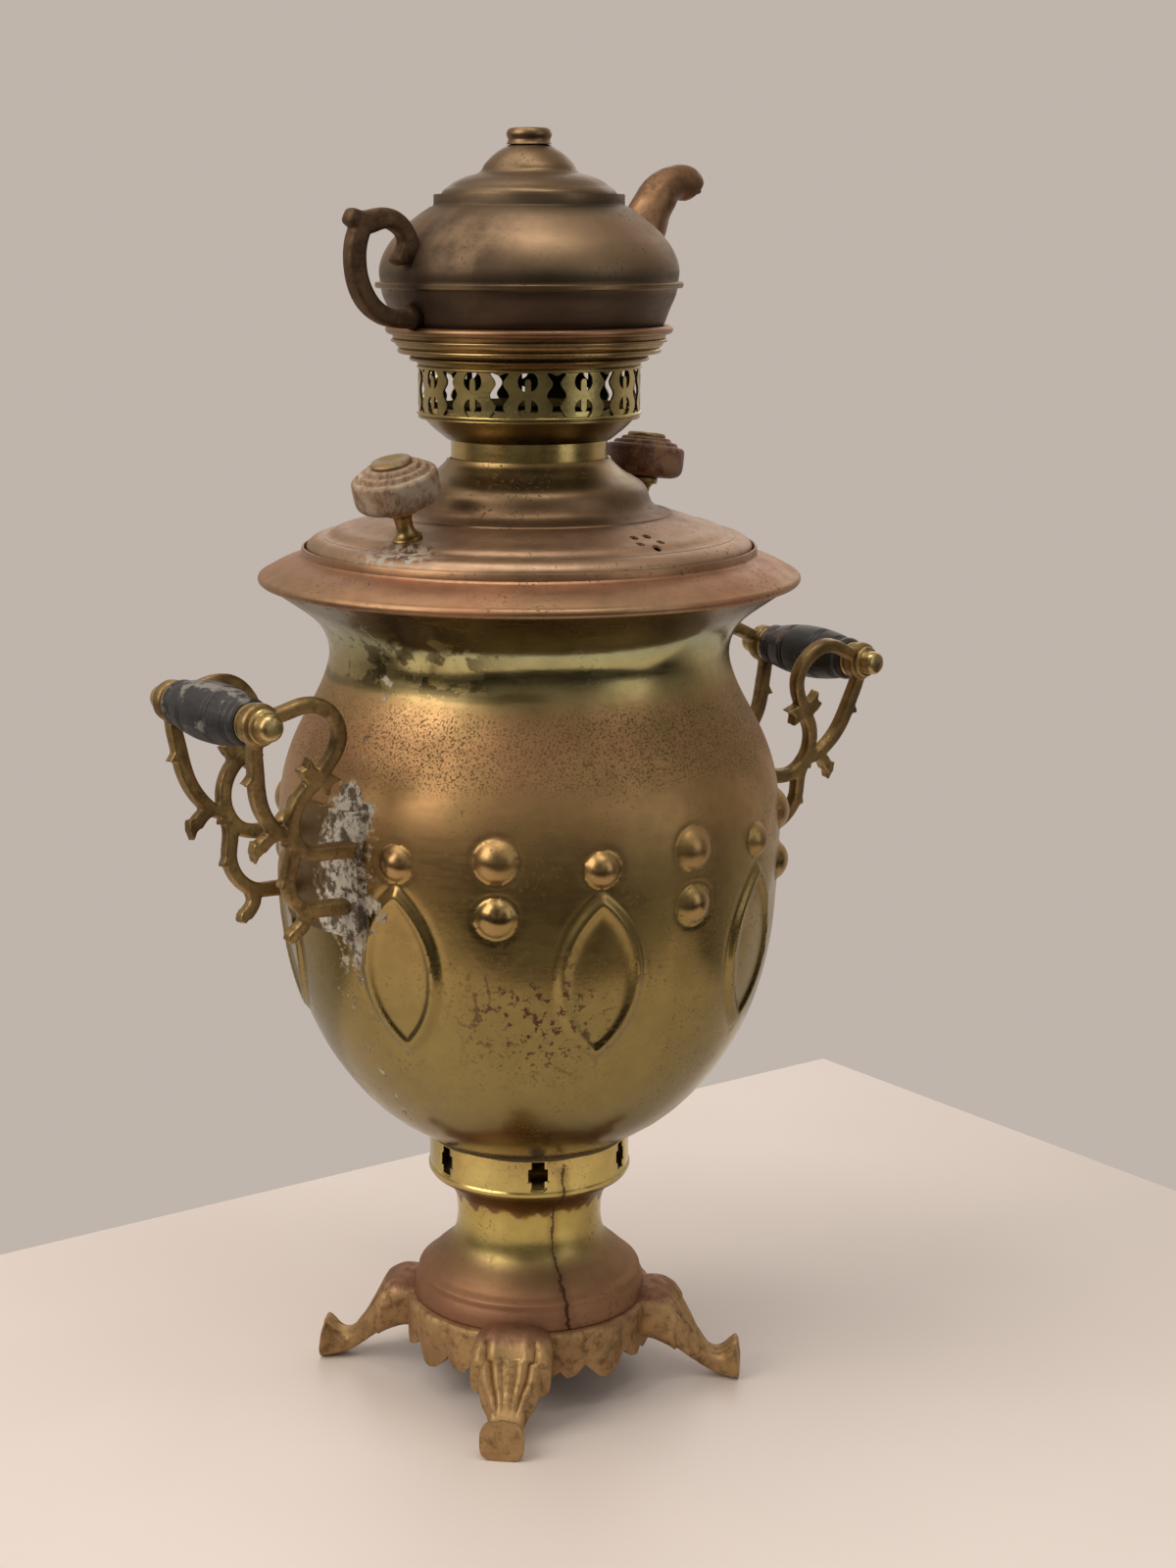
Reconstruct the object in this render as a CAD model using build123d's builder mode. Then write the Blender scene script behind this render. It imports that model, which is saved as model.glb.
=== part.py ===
"""A charcoal samovar with its crown and teapot.

Millimetres, +Z up, origin on the vessel's axis at the level of the feet.
The tap faces -Y. The two handles stand on the X axis, right at +X and left
at -X, as a person facing the tap sees them.
"""

import os
from math import atan2, cos, degrees, radians, sin, sqrt

from build123d import *

os.makedirs("parts", exist_ok=True)

# ---------------------------------------------------------------- shared fits
sheet = 1.0  # thickness of the spun brass sheet
solder_gap = 0.05  # between a soldered casting and the sheet below it
seat_gap = 0.2  # under a piece that lifts off
slip_fit = 0.4  # radial play of a collar or skirt that lifts off
running_fit = 0.05  # radial play of the ground tap plug
rod_play = 0.1  # radial play of a rod in its hole

# ---------------------------------------------------------------- foot casting
foot_top = 40.0  # height of the plate that carries the pedestal
foot_plate = 3.5
foot_bore_radius = 34.0
skirt_radius = 58.0
skirt_wall = 4.5
skirt_depth = 23.0
pleat_radius = 6.5
pleat_depth = 1.6
pleats_per_side = 6
scallop_radius = 6.2
foot_reach = 100.0  # from the axis to the toes' end faces
leg_knee_width = 34.0
leg_ankle_width = 15.0
leg_ankle_radius = 84.0
leg_flute_width = 2.6
leg_flute_depth = 1.5
toe_width = 20.0
toe_height = 18.0
toe_thickness = 4.0
leg_count = 4

# ---------------------------------------------------------------- pedestal
pedestal_height = 79.0
pedestal_flare_radius = 54.6
pedestal_neck_radius = 33.5
pedestal_band_radius = 46.3
vent_count = 6
vent_first_angle = 57.0
vent_width = 6.0
vent_height = 13.0
vent_ear_width = 9.0
vent_ear_height = 6.0
vent_height_in_band = 72.0

# ---------------------------------------------------------------- fire tube
tube_flange = 1.2
tube_wall = 1.2
tube_base_radius = 44.0
tube_neck_radius = 34.4
tube_base_height = 30.0  # straight stretch round the grate
tube_taper_height = 180.0  # where the taper has come down to the neck
tube_height = 325.8
grate_seat_radius = 38.0
grate_thickness = 4.0
grate_slot_width = 5.0
grate_slot_pitch = 10.0
grate_play = 0.3

# ---------------------------------------------------------------- vessel
belly_radius = 113.3
belly_rise = 145.0
throat_radius = 91.4
throat_rise = 218.0
flare_radius = 117.6
vessel_height = 256.0
dome_columns = (45, 90, 135, 225, 315)
upper_dome_radius = 9.2
upper_dome_rise = 154.0
lower_dome_radius = 8.6
lower_dome_rise = 130.0
single_dome_radius = 7.6
single_dome_rise = 150.0
dome_height = 4.0
lens_count = 8
lens_first_angle = 22.5
lens_rise = 102.0
lens_width = 37.0
lens_height = 74.0
lens_rim_width = 4.5
lens_rim_height = 2.0
bowl_seam_rise = 60.0  # soldered seam below the embossed band
neck_seam_rise = 166.0  # soldered seam above the embossed band

# ---------------------------------------------------------------- rim
rim_radius = 120.0
rim_bead_radius = 2.2
rim_plate = 1.2
rim_drop = 8.4  # fall of the rim plate from the lip to the bead
lip_radius = 100.6
lip_height = 4.4
lid_ledge_bore_radius = 91.5

# ---------------------------------------------------------------- lid
lid_edge_radius = 98.3
lid_edge_height = 5.0
lid_dish_radius = 61.4
lid_dish_rise = 18.6
lid_shoulder_radius = 51.0
lid_shoulder_rise = 30.6
lid_collar_height = 42.4
lid_skirt_depth = 6.5
steam_hole_radius = 1.9
steam_hole_count = 5
steam_ring_radius = 5.8
steam_ring_place = 80.5
steam_ring_angle = 90.0

# ---------------------------------------------------------------- lid knobs
knob_turn = 11.4  # the lid's clocking about the axis
knob_place = 78.5
knob_leans = {"right": 16.0, "left": 9.0}
knob_radius = 18.3
knob_height = 18.0
post_height = 15.0
post_foot_radius = 6.0
post_waist_radius = 3.6
post_collar_radius = 7.0
post_stud_radius = 2.5
knob_cap_radius = 8.7
knob_cap_thickness = 2.2
lid_nut_radius = 5.0
lid_nut_thickness = 3.0

# ---------------------------------------------------------------- crown
crown_rim_radius = 48.5
crown_cup_height = 3.9
crown_collar_depth = 8.6
crown_floor_bore_radius = 29.0
gallery_height = 21.6
gallery_overlap = 1.6
figure_count = 12
figure_first_angle = 51.4
figure_pitch = 29.0  # the rest of the turn is the plain soldered seam at the back
figure_eye_radius = 3.9
figure_eye_rise = 5.9
figure_tongue_width = 2.4
slot_width = 6.6
slot_height = 19.6
crown_flare_radius = 59.8
crown_flare_height = 14.0
crown_bead_radius = 1.9
crown_seat_bore_radius = 49.0
crown_seat_rise = 9.6

# ---------------------------------------------------------------- teapot
pot_base_radius = 50.0
pot_heel_radius = 55.5
pot_seam_radius = 64.0
pot_lower_height = 24.2
pot_flange_width = 2.8
pot_flange_thickness = 1.2
pot_upper_height = 38.0
pot_mouth_radius = 41.2
pot_mouth_lip = 4.2
pot_ledge_bore_radius = 36.0
pot_ledge_drop = 2.4
pot_lid_edge_height = 2.0
pot_lid_step_radius = 20.6
pot_lid_height = 23.0
pot_lid_skirt_depth = 4.0
finial_radius = 9.2
finial_neck_radius = 7.6
finial_height = 7.0
pot_handle_width = 8.0
pot_handle_thickness = 8.4
pot_spout_wall = 2.2
pot_stub_rise = 16.0
pot_stub_width = 6.0

# ---------------------------------------------------------------- handles
handle_leans = {"right": -5.2, "left": 5.2}
handle_height = 262.0  # centre of the saddle plates
plate_width = 56.0
plate_height = 54.0
plate_thickness = 3.5
plate_corner_radius = 6.0
scroll_bar = 5.6
scroll_thickness = 5.0
scroll_seat_offset = 22.8  # from the handle's middle to a bracket, at the plate's centre
scroll_eye_offset = 33.5
eye_out = 52.7  # from the saddle plate's face to the rod
eye_up = 68.0
eye_boss_radius = 9.0
eye_boss_width = 7.0
rod_radius = 2.5
washer_thickness = 2.0
washer_radius = 8.4
cap_nut_length = 7.4
cap_nut_radius = 5.6
grip_radius = 12.6
grip_end_radius = 9.0

# ---------------------------------------------------------------- tap
tap_height = 176.0
rosette_radius = 21.0
rosette_thickness = 2.5
rosette_petals = 8
shank_radius = 7.0
tap_bore_radius = 4.5
shank_inside = 3.0  # how far the shank stands into the vessel
plug_out = 42.0  # from the vessel's wall to the plug's axis
barrel_radius = 12.5
barrel_height = 38.0
plug_top_radius = 8.5
plug_foot_radius = 7.0
spout_radius = 6.8
spout_bend = 15.0
spout_run = 18.0
spout_drop = 16.0
spout_lip = 1.6
plug_neck_radius = 5.5
plug_tail_radius = 4.5
plug_tail_length = 7.0
key_stem = 8.0
key_ring_radius = 9.5
key_ring_bore = 5.0
key_height = 34.0
key_thickness = 4.5
ring_radius = 8.5
ring_thickness = 2.0

# Heights that follow from the stack of pieces
pedestal_top = foot_top + pedestal_height
vessel_base = pedestal_top + tube_flange
vessel_top = vessel_base + vessel_height
tube_top = vessel_base + tube_height
rim_bead_height = vessel_top + 1.4
ledge_top = rim_bead_height + rim_drop + rim_plate
lid_base = ledge_top + seat_gap
crown_floor = tube_top + seat_gap
gallery_base = crown_floor + crown_cup_height - gallery_overlap
crown_ring_base = gallery_base + gallery_height
crown_seat = crown_ring_base + crown_seat_rise
pot_base = crown_seat + seat_gap
pot_seam = pot_base + pot_lower_height
pot_mouth = pot_seam + pot_upper_height
pot_ledge = pot_mouth - pot_ledge_drop
pot_lid_base = pot_ledge + seat_gap


# ---------------------------------------------------------------- helpers
def stretch(form, start, end):
    """Points of a turned outline between two (radius, height) ends.

    form lists (share of the rise, share of the change in radius).
    """
    return [
        (start[0] + (end[0] - start[0]) * across, start[1] + (end[1] - start[1]) * up)
        for up, across in form
    ]


def inner_line(outer, thickness, count=40):
    """A line one wall thickness to the left of another, drawn in the same sketch."""
    points = []
    for step in range(count + 1):
        place = outer @ (step / count)
        along = outer % (step / count)
        points.append((place.X - along.Y * thickness, place.Y + along.X * thickness))
    return Spline(*points)


def draw_wall(outline, thickness):
    """The closed section of a sheet wall, its outside drawn from the bottom up."""
    outer = Spline(*outline)
    inner = inner_line(outer, thickness)
    Line(outer @ 0, inner @ 0)
    Line(outer @ 1, inner @ 1)


def radius_at(outline, height):
    """Radius of a rising turned outline at a height."""
    line = Edge.make_spline([Vector(*point) for point in outline])
    low, high = 0.0, 1.0
    for _ in range(40):
        middle = (low + high) / 2
        if line.position_at(middle).Y < height:
            low = middle
        else:
            high = middle
    return line.position_at(low).X


def facing(angle, height):
    """A plane on the axis that faces outwards at an angle, with its own Y upwards."""
    out = (cos(radians(angle)), sin(radians(angle)), 0)
    return Plane(origin=(0, 0, height), x_dir=(-out[1], out[0], 0), z_dir=out)


def draw_ring(inside, outside, bottom, top):
    """The closed section of a plain turned ring."""
    Polyline((inside, bottom), (outside, bottom), (outside, top), (inside, top), close=True)


def write(part, name):
    """Label a finished piece and write it as parts/NAME.step."""
    part.label = name
    export_step(part, f"parts/{name}.step")


# ---------------------------------------------------------------- outlines
skirt_foot_form = ((0, 0), (0.17, 0.03), (0.37, 0.14), (0.55, 0.31), (0.77, 0.56), (0.92, 0.76), (1, 0.91))
skirt_neck_form = ((0, 0), (0.3, 0.02), (0.55, 0.12), (0.72, 0.3), (0.88, 0.65), (1, 0.98))
flare_top = foot_top + 29.0
band_base = pedestal_top - 18.0
pedestal_outline = (
    stretch(
        skirt_foot_form,
        (pedestal_flare_radius, foot_top),
        (pedestal_neck_radius, flare_top),
    )
    + stretch(
        skirt_neck_form,
        (pedestal_neck_radius, foot_top + 36.0),
        (pedestal_band_radius, band_base - 1.5),
    )
    + [(pedestal_band_radius, band_base + 2.0), (pedestal_band_radius, pedestal_top)]
)

bowl_form = ((0, 0), (0.1, 0.33), (0.225, 0.58), (0.41, 0.81), (0.66, 0.955), (0.85, 0.993), (1, 1))
shoulder_form = ((0.32, 0.1), (0.48, 0.25), (0.72, 0.63), (0.86, 0.88), (1, 1))
neck_form = ((0.26, 0.065), (0.58, 0.3), (0.8, 0.61), (1, 1))
belly = (belly_radius, vessel_base + belly_rise)
throat = (throat_radius, vessel_base + throat_rise)
vessel_outline = (
    stretch(bowl_form, (pedestal_band_radius, vessel_base), belly)
    + stretch(shoulder_form, belly, throat)
    + stretch(neck_form, throat, (flare_radius, vessel_top))
)


def vessel_radius(height):
    """Outer radius of the vessel at a height above the floor."""
    return radius_at(vessel_outline, height)


# ---------------------------------------------------------------- foot casting
leg_knee_top = foot_top + 5.5
leg_plane = Plane.XZ

with BuildPart() as leg:
    # Side view of a leg: knee, shin, ankle and the turned-up toe.
    with BuildSketch(leg_plane):
        with BuildLine():
            back = Spline(
                (skirt_radius - skirt_wall, leg_knee_top),
                (foot_reach - 34.0, foot_top),
                (foot_reach - 25.0, 0.62 * foot_top),
                (foot_reach - 14.0, 11.5),
                (foot_reach - toe_thickness - 2.0, toe_height - 2.5),
            )
            toe_top = Line(back @ 1, (foot_reach - 2.0, toe_height))
            toe_face = Line(toe_top @ 1, (foot_reach, 0))
            sole = Line(toe_face @ 1, (foot_reach - 8.0, 0))
            under = Spline(
                sole @ 1,
                (foot_reach - 20.0, 8.5),
                (foot_reach - 30.0, 16.5),
                (skirt_radius - skirt_wall, 21.0),
            )
            Line(under @ 1, back @ 0)
        make_face()
    extrude(amount=leg_knee_width / 2, both=True)
    # Plan view: the knee narrows to the ankle and widens again at the toe.
    with BuildSketch(Plane.XY):
        with BuildLine():
            side = Spline(
                (skirt_radius - skirt_wall, leg_knee_width / 2),
                (foot_reach - 30.0, leg_knee_width / 2 - 1.5),
                (leg_ankle_radius, leg_ankle_width / 2),
                (foot_reach - toe_thickness - 1.0, leg_ankle_width / 2 + 0.5),
            )
            Line(side @ 1, (foot_reach - toe_thickness, toe_width / 2))
            Line((foot_reach - toe_thickness, toe_width / 2), (foot_reach, toe_width / 2))
            Line((foot_reach, toe_width / 2), (foot_reach, 0))
            Line((foot_reach, 0), (skirt_radius - skirt_wall, 0))
            Line((skirt_radius - skirt_wall, 0), side @ 0)
        make_face()
        mirror(about=Plane.XZ)
    extrude(amount=leg_knee_top + 1.0, mode=Mode.INTERSECT)
    # Flutes that fan out from the ankle over the knee.
    for fan in (-21, -11, 11, 21):
        flute_place = Location((leg_ankle_radius, 0, 0), (0, 0, fan)) * Location((0, 0, 0), (90, 0, 0))
        with BuildSketch(Plane(flute_place)):
            with BuildLine():
                Spline(
                    (skirt_radius - leg_ankle_radius + 3.0, leg_knee_top - 2.2),
                    (foot_reach - 34.0 - leg_ankle_radius, foot_top + 0.6),
                    (foot_reach - 25.0 - leg_ankle_radius, 0.62 * foot_top + 0.6),
                    (foot_reach - 18.0 - leg_ankle_radius, 14.5),
                )
            trace(line_width=2 * leg_flute_depth)
        extrude(amount=leg_flute_width / 2, both=True, mode=Mode.SUBTRACT)

with BuildPart() as foot_casting:
    with BuildSketch(Plane.XZ):
        with BuildLine():
            Polyline(
                (foot_bore_radius, foot_top - foot_plate),
                (skirt_radius - skirt_wall, foot_top - foot_plate),
                (skirt_radius - skirt_wall, foot_top - skirt_depth),
                (skirt_radius, foot_top - skirt_depth),
                (skirt_radius, foot_top),
                (foot_bore_radius, foot_top),
                close=True,
            )
        make_face()
    revolve(axis=Axis.Z)
    # Pleats of the apron, between each pair of legs.
    pleat_pitch = 60.0 / pleats_per_side
    for quarter in range(leg_count):
        first = quarter * 90.0 - pleat_pitch * (pleats_per_side - 1) / 2
        for pleat in range(pleats_per_side):
            with Locations(Location((0, 0, 0), (0, 0, first + pleat * pleat_pitch))):
                with Locations((skirt_radius + pleat_radius - pleat_depth, 0, foot_top - skirt_depth / 2 - 2.5)):
                    Cylinder(pleat_radius, skirt_depth, mode=Mode.SUBTRACT)
    # Scallops along the apron's lower edge.
    for quarter in range(leg_count):
        for swing, drop in ((-17.0, -0.5), (17.0, -0.5), (-33.0, 2.0), (33.0, 2.0)):
            with Locations(Location((0, 0, 0), (0, 0, quarter * 90.0 + swing))):
                with Locations(
                    Location((skirt_radius, 0, foot_top - skirt_depth - scallop_radius / 2 + drop), (0, 90, 0))
                ):
                    Cylinder(scallop_radius, 3 * skirt_wall, mode=Mode.SUBTRACT)
    with PolarLocations(0, leg_count, start_angle=45):
        add(leg.part)
    # The legs' knees stop short of the pedestal's flare.
    with BuildSketch(Plane.XY.offset(foot_top)):
        Circle(pedestal_flare_radius + solder_gap)
    extrude(amount=foot_top, mode=Mode.SUBTRACT)
write(foot_casting.part, "foot_casting")

# ---------------------------------------------------------------- pedestal
with BuildPart() as pedestal_shell:
    with BuildSketch(Plane.XZ):
        with BuildLine():
            draw_wall(pedestal_outline, sheet)
        make_face()
    revolve(axis=Axis.Z)
    split(bisect_by=Plane.XY.offset(foot_top), keep=Keep.TOP)
    split(bisect_by=Plane.XY.offset(pedestal_top), keep=Keep.BOTTOM)
    for vent in range(vent_count):
        angle = vent_first_angle + vent * 360.0 / vent_count
        with BuildSketch(facing(angle, foot_top + vent_height_in_band)):
            RectangleRounded(vent_width, vent_height, 1.2)
            RectangleRounded(vent_ear_width, vent_ear_height, 1.2)
        extrude(amount=pedestal_band_radius + 5.0, mode=Mode.SUBTRACT)
write(pedestal_shell.part, "pedestal_shell")

# ---------------------------------------------------------------- fire tube and grate
with BuildPart() as fire_tube:
    with BuildSketch(Plane.XZ):
        with BuildLine():
            Polyline(
                (grate_seat_radius, pedestal_top),
                (pedestal_band_radius, pedestal_top),
                (pedestal_band_radius, vessel_base),
                (tube_base_radius, vessel_base),
                (tube_base_radius, vessel_base + tube_base_height),
                (tube_neck_radius, vessel_base + tube_taper_height),
                (tube_neck_radius - tube_wall, vessel_base + tube_taper_height),
                (tube_base_radius - tube_wall, vessel_base + tube_base_height),
                (tube_base_radius - tube_wall, vessel_base),
                (grate_seat_radius, vessel_base),
                close=True,
            )
        make_face()
    revolve(axis=Axis.Z)
write(fire_tube.part, "fire_tube")

# The straight chimney, butt soldered on the taper.
with BuildPart() as chimney:
    with BuildSketch(Plane.XY.offset(vessel_base + tube_taper_height)):
        Circle(tube_neck_radius)
        Circle(tube_neck_radius - tube_wall, mode=Mode.SUBTRACT)
    extrude(amount=tube_height - tube_taper_height)
write(chimney.part, "chimney")

grate_radius = tube_base_radius - tube_wall - grate_play
slots_each_side = int((grate_seat_radius - grate_slot_pitch / 2) // grate_slot_pitch)
with BuildPart() as grate:
    with BuildSketch(Plane.XY.offset(vessel_base)):
        Circle(grate_radius)
        for slot in range(-slots_each_side, slots_each_side + 1):
            reach = grate_seat_radius - 2.0
            half_length = sqrt(reach**2 - (slot * grate_slot_pitch) ** 2)
            with Locations((0, slot * grate_slot_pitch)):
                SlotOverall(2 * half_length, grate_slot_width, mode=Mode.SUBTRACT)
    extrude(amount=grate_thickness)
write(grate.part, "grate")

# ---------------------------------------------------------------- vessel
with BuildPart() as body_shell:
    with BuildSketch(Plane.XZ):
        with BuildLine():
            draw_wall(vessel_outline, sheet)
        make_face()
    revolve(axis=Axis.Z)
    split(bisect_by=Plane.XY.offset(vessel_base), keep=Keep.TOP)

dome_places = (
    [(angle, upper_dome_rise, upper_dome_radius) for angle in dome_columns]
    + [(angle, lower_dome_rise, lower_dome_radius) for angle in dome_columns]
    + [
        (lens_first_angle + place * 360.0 / lens_count, single_dome_rise, single_dome_radius)
        for place in range(lens_count)
    ]
)

# The raised rims of the lenses: a layer over the wall, cut to pointed ovals.
with BuildPart() as lens_layer:
    lens_low = vessel_base + lens_rise - lens_height / 2 - 4.0
    lens_high = vessel_base + lens_rise + lens_height / 2 + 4.0
    with BuildSketch(Plane.XZ):
        with BuildLine():
            layer_outer = Spline(*[(r + lens_rim_height, z) for r, z in vessel_outline])
            layer_inner = Spline(*[(r - sheet / 2, z) for r, z in vessel_outline])
            Line(layer_outer @ 0, layer_inner @ 0)
            Line(layer_outer @ 1, layer_inner @ 1)
        make_face()
    revolve(axis=Axis.Z)
    split(bisect_by=Plane.XY.offset(lens_low), keep=Keep.TOP)
    split(bisect_by=Plane.XY.offset(lens_high), keep=Keep.BOTTOM)


def draw_lens(width, height):
    """A pointed upright oval made of two arcs."""
    right = ThreePointArc((0, -height / 2), (width / 2, 0), (0, height / 2))
    ThreePointArc(right @ 1, (-width / 2, 0), right @ 0)


with BuildPart() as lens_rims:
    for place in range(lens_count):
        angle = lens_first_angle + place * 360.0 / lens_count
        with BuildSketch(facing(angle, vessel_base + lens_rise)):
            with BuildLine():
                draw_lens(lens_width, lens_height)
            make_face()
            with BuildLine():
                draw_lens(lens_width - 2 * lens_rim_width, lens_height - 4 * lens_rim_width)
            make_face(mode=Mode.SUBTRACT)
        extrude(amount=belly_radius + 2 * lens_rim_height)
    add(lens_layer.part, mode=Mode.INTERSECT)

# The hollow embossed domes: thin balls, of which only the caps outside the wall stay.
with BuildPart() as vessel_core:
    with BuildSketch(Plane.XZ):
        with BuildLine():
            core_side = Spline(*[(r - sheet, z) for r, z in vessel_outline])
            Polyline(core_side @ 1, (0, vessel_top), (0, vessel_base), core_side @ 0)
        make_face()
    revolve(axis=Axis.Z)


def dome_balls(shrink):
    """The balls of all domes, each smaller by shrink, placed on the wall."""
    balls = []
    for angle, rise, radius in dome_places:
        ball = (radius**2 + dome_height**2) / (2 * dome_height)
        height = vessel_base + rise
        out = vessel_radius(height) + dome_height - ball
        place = Location((0, 0, 0), (0, 0, angle)) * Location((out, 0, height))
        balls.append(place * Solid.make_sphere(ball - shrink))
    return balls


with BuildPart() as dome_caps:
    add(dome_balls(0))
    add(dome_balls(sheet), mode=Mode.SUBTRACT)
    add(vessel_core.part, mode=Mode.SUBTRACT)

with body_shell:
    add(dome_balls(sheet), mode=Mode.SUBTRACT)
    add(dome_caps.part)
    add(lens_rims.part)
    # The hole that the tap's shank passes through.
    with BuildSketch(facing(-90, tap_height)):
        Circle(shank_radius + solder_gap)
    extrude(amount=belly_radius + lens_rim_height, mode=Mode.SUBTRACT)

bowl_seam = vessel_base + bowl_seam_rise
neck_seam = vessel_base + neck_seam_rise
with BuildPart() as body_bowl:
    add(body_shell.part)
    split(bisect_by=Plane.XY.offset(bowl_seam), keep=Keep.BOTTOM)
write(body_bowl.part, "body_bowl")

with BuildPart() as body_band:
    add(body_shell.part)
    split(bisect_by=Plane.XY.offset(bowl_seam), keep=Keep.TOP)
    split(bisect_by=Plane.XY.offset(neck_seam), keep=Keep.BOTTOM)
write(body_band.part, "body_band")

with BuildPart() as body_neck:
    add(body_shell.part)
    split(bisect_by=Plane.XY.offset(neck_seam), keep=Keep.TOP)
write(body_neck.part, "body_neck")

# ---------------------------------------------------------------- rim
bead_place = (rim_radius - rim_bead_radius, rim_bead_height)
with BuildPart() as rim_ring:
    with BuildSketch(Plane.XZ):
        with BuildLine():
            Polyline(
                (lid_ledge_bore_radius, ledge_top - rim_plate),
                (lip_radius - rim_plate, ledge_top - rim_plate),
                (bead_place[0], rim_bead_height + rim_bead_radius - rim_plate),
                (bead_place[0], rim_bead_height + rim_bead_radius),
                (lip_radius, ledge_top + rim_plate / 2),
                (lip_radius, ledge_top + lip_height),
                (lip_radius - rim_plate, ledge_top + lip_height),
                (lip_radius - rim_plate, ledge_top),
                (lid_ledge_bore_radius, ledge_top),
                close=True,
            )
        make_face()
        with Locations(bead_place):
            Circle(rim_bead_radius)
    revolve(axis=Axis.Z)
    # The rolled bead grips the top edge of the vessel's flare.
    add(body_shell.part, mode=Mode.SUBTRACT)
write(rim_ring.part, "rim_ring")

# ---------------------------------------------------------------- lid
brim_form = ((0.044, 0.016), (0.206, 0.092), (0.368, 0.306), (0.706, 0.648), (1, 1))
ogee_form = ((0.18, 0.46), (0.37, 0.71), (0.54, 0.8), (0.73, 0.89), (1, 1))
throat_form = ((0.195, 0.11), (0.36, 0.33), (0.47, 0.56), (0.64, 0.75), (0.83, 0.9), (1, 1))
lid_collar_radius = tube_neck_radius + slip_fit + sheet
lid_edge = (lid_edge_radius, lid_base + lid_edge_height)
lid_dish = (lid_dish_radius, lid_base + lid_dish_rise)
lid_shoulder = (lid_shoulder_radius, lid_base + lid_shoulder_rise)
lid_outline = (
    [(lid_edge_radius, lid_base), (lid_edge_radius, lid_base + lid_edge_height / 2)]
    + stretch(brim_form, lid_edge, lid_dish)
    + stretch(ogee_form, lid_dish, lid_shoulder)
    + stretch(throat_form, lid_shoulder, (lid_collar_radius, lid_base + lid_collar_height))
)


def turned_block(outline, inset, bottom, top):
    """A filled turned solid below an outline, its side set in by inset."""
    with BuildPart() as block:
        with BuildSketch(Plane.XZ):
            with BuildLine():
                if inset:
                    with BuildLine(mode=Mode.PRIVATE):
                        skin = Spline(*outline)
                    side = inner_line(skin, inset)
                else:
                    side = Spline(*outline)
                Polyline(side @ 1, (0, top), (0, bottom), side @ 0)
            make_face()
        revolve(axis=Axis.Z)
    return block.part


def height_at(outline, radius):
    """Height of an outline that rises towards the axis, at a radius."""
    line = Edge.make_spline([Vector(*point) for point in outline])
    low, high = 0.0, 1.0
    for _ in range(40):
        middle = (low + high) / 2
        if line.position_at(middle).X > radius:
            low = middle
        else:
            high = middle
    return line.position_at(low).Y


lid_top = lid_base + lid_collar_height
lid_filled = turned_block(lid_outline, 0, lid_base, lid_top)
lid_hollow = turned_block(lid_outline, sheet, lid_base, lid_top)
knob_frames = {
    side: Location((0, 0, 0), (0, 0, knob_turn + turn))
    * Location((knob_place, 0, height_at(lid_outline, knob_place)), (0, knob_leans[side], 0))
    for side, turn in (("right", 0), ("left", 180))
}
lid_skirt_radius = lid_ledge_bore_radius - slip_fit
lid_seam = lid_base + lid_shoulder_rise + 2.0

with BuildPart() as lid_wall:
    with BuildSketch(Plane.XZ):
        with BuildLine():
            draw_wall(lid_outline, sheet)
        make_face()
    revolve(axis=Axis.Z)
    split(bisect_by=Plane.XY.offset(lid_base), keep=Keep.TOP)
    with Locations(Location((0, 0, 0), (0, 0, steam_ring_angle))):
        with Locations((steam_ring_place, 0, lid_base + lid_dish_rise / 2)):
            with PolarLocations(steam_ring_radius, steam_hole_count):
                Cylinder(steam_hole_radius, lid_dish_rise, mode=Mode.SUBTRACT)
    for frame in knob_frames.values():
        with Locations(frame):
            Cylinder(post_stud_radius + rod_play, 2 * post_foot_radius, mode=Mode.SUBTRACT)

with BuildPart() as lid_shell:
    add(lid_wall.part)
    split(bisect_by=Plane.XY.offset(lid_seam), keep=Keep.BOTTOM)
write(lid_shell.part, "lid_shell")

# The throat soldered on above the shoulder, drawn in to the collar round the chimney.
with BuildPart() as lid_throat:
    add(lid_wall.part)
    split(bisect_by=Plane.XY.offset(lid_seam), keep=Keep.TOP)
write(lid_throat.part, "lid_throat")

# The skirt that centres the lid in the rim's ledge, soldered in under the brim.
with BuildPart() as lid_skirt:
    with BuildSketch(Plane.XZ):
        with BuildLine():
            draw_ring(
                lid_skirt_radius - sheet,
                lid_skirt_radius,
                lid_base - lid_skirt_depth,
                height_at(lid_outline, lid_skirt_radius) + sheet,
            )
        make_face()
    revolve(axis=Axis.Z)
    add(lid_shell.part, mode=Mode.SUBTRACT)
    split(bisect_by=Plane.XY.offset(height_at(lid_outline, lid_skirt_radius) - sheet / 2), keep=Keep.BOTTOM)
write(lid_skirt.part, "lid_skirt")

# ---------------------------------------------------------------- lid knobs
with BuildPart() as post:
    with BuildSketch(Plane.XZ):
        with BuildLine():
            foot_side = Line((post_foot_radius, -post_foot_radius / 2), (post_foot_radius, 1.6))
            waist = Spline(
                foot_side @ 1,
                (post_waist_radius + 0.5, 0.28 * post_height),
                (post_waist_radius, 0.45 * post_height),
                (post_waist_radius + 1.0, post_height - 3.4),
            )
            Polyline(
                waist @ 1,
                (post_collar_radius, post_height - 3.0),
                (post_collar_radius, post_height),
                (0, post_height),
                (0, -post_foot_radius / 2),
                foot_side @ 0,
            )
        make_face()
    revolve(axis=Axis.Z)

with BuildPart() as post_stud:
    stud_bottom = -lid_nut_thickness - 4 * sheet
    with BuildSketch(Plane.XY.offset(stud_bottom)):
        Circle(post_stud_radius)
    extrude(amount=post_height + knob_height - stud_bottom)

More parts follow.
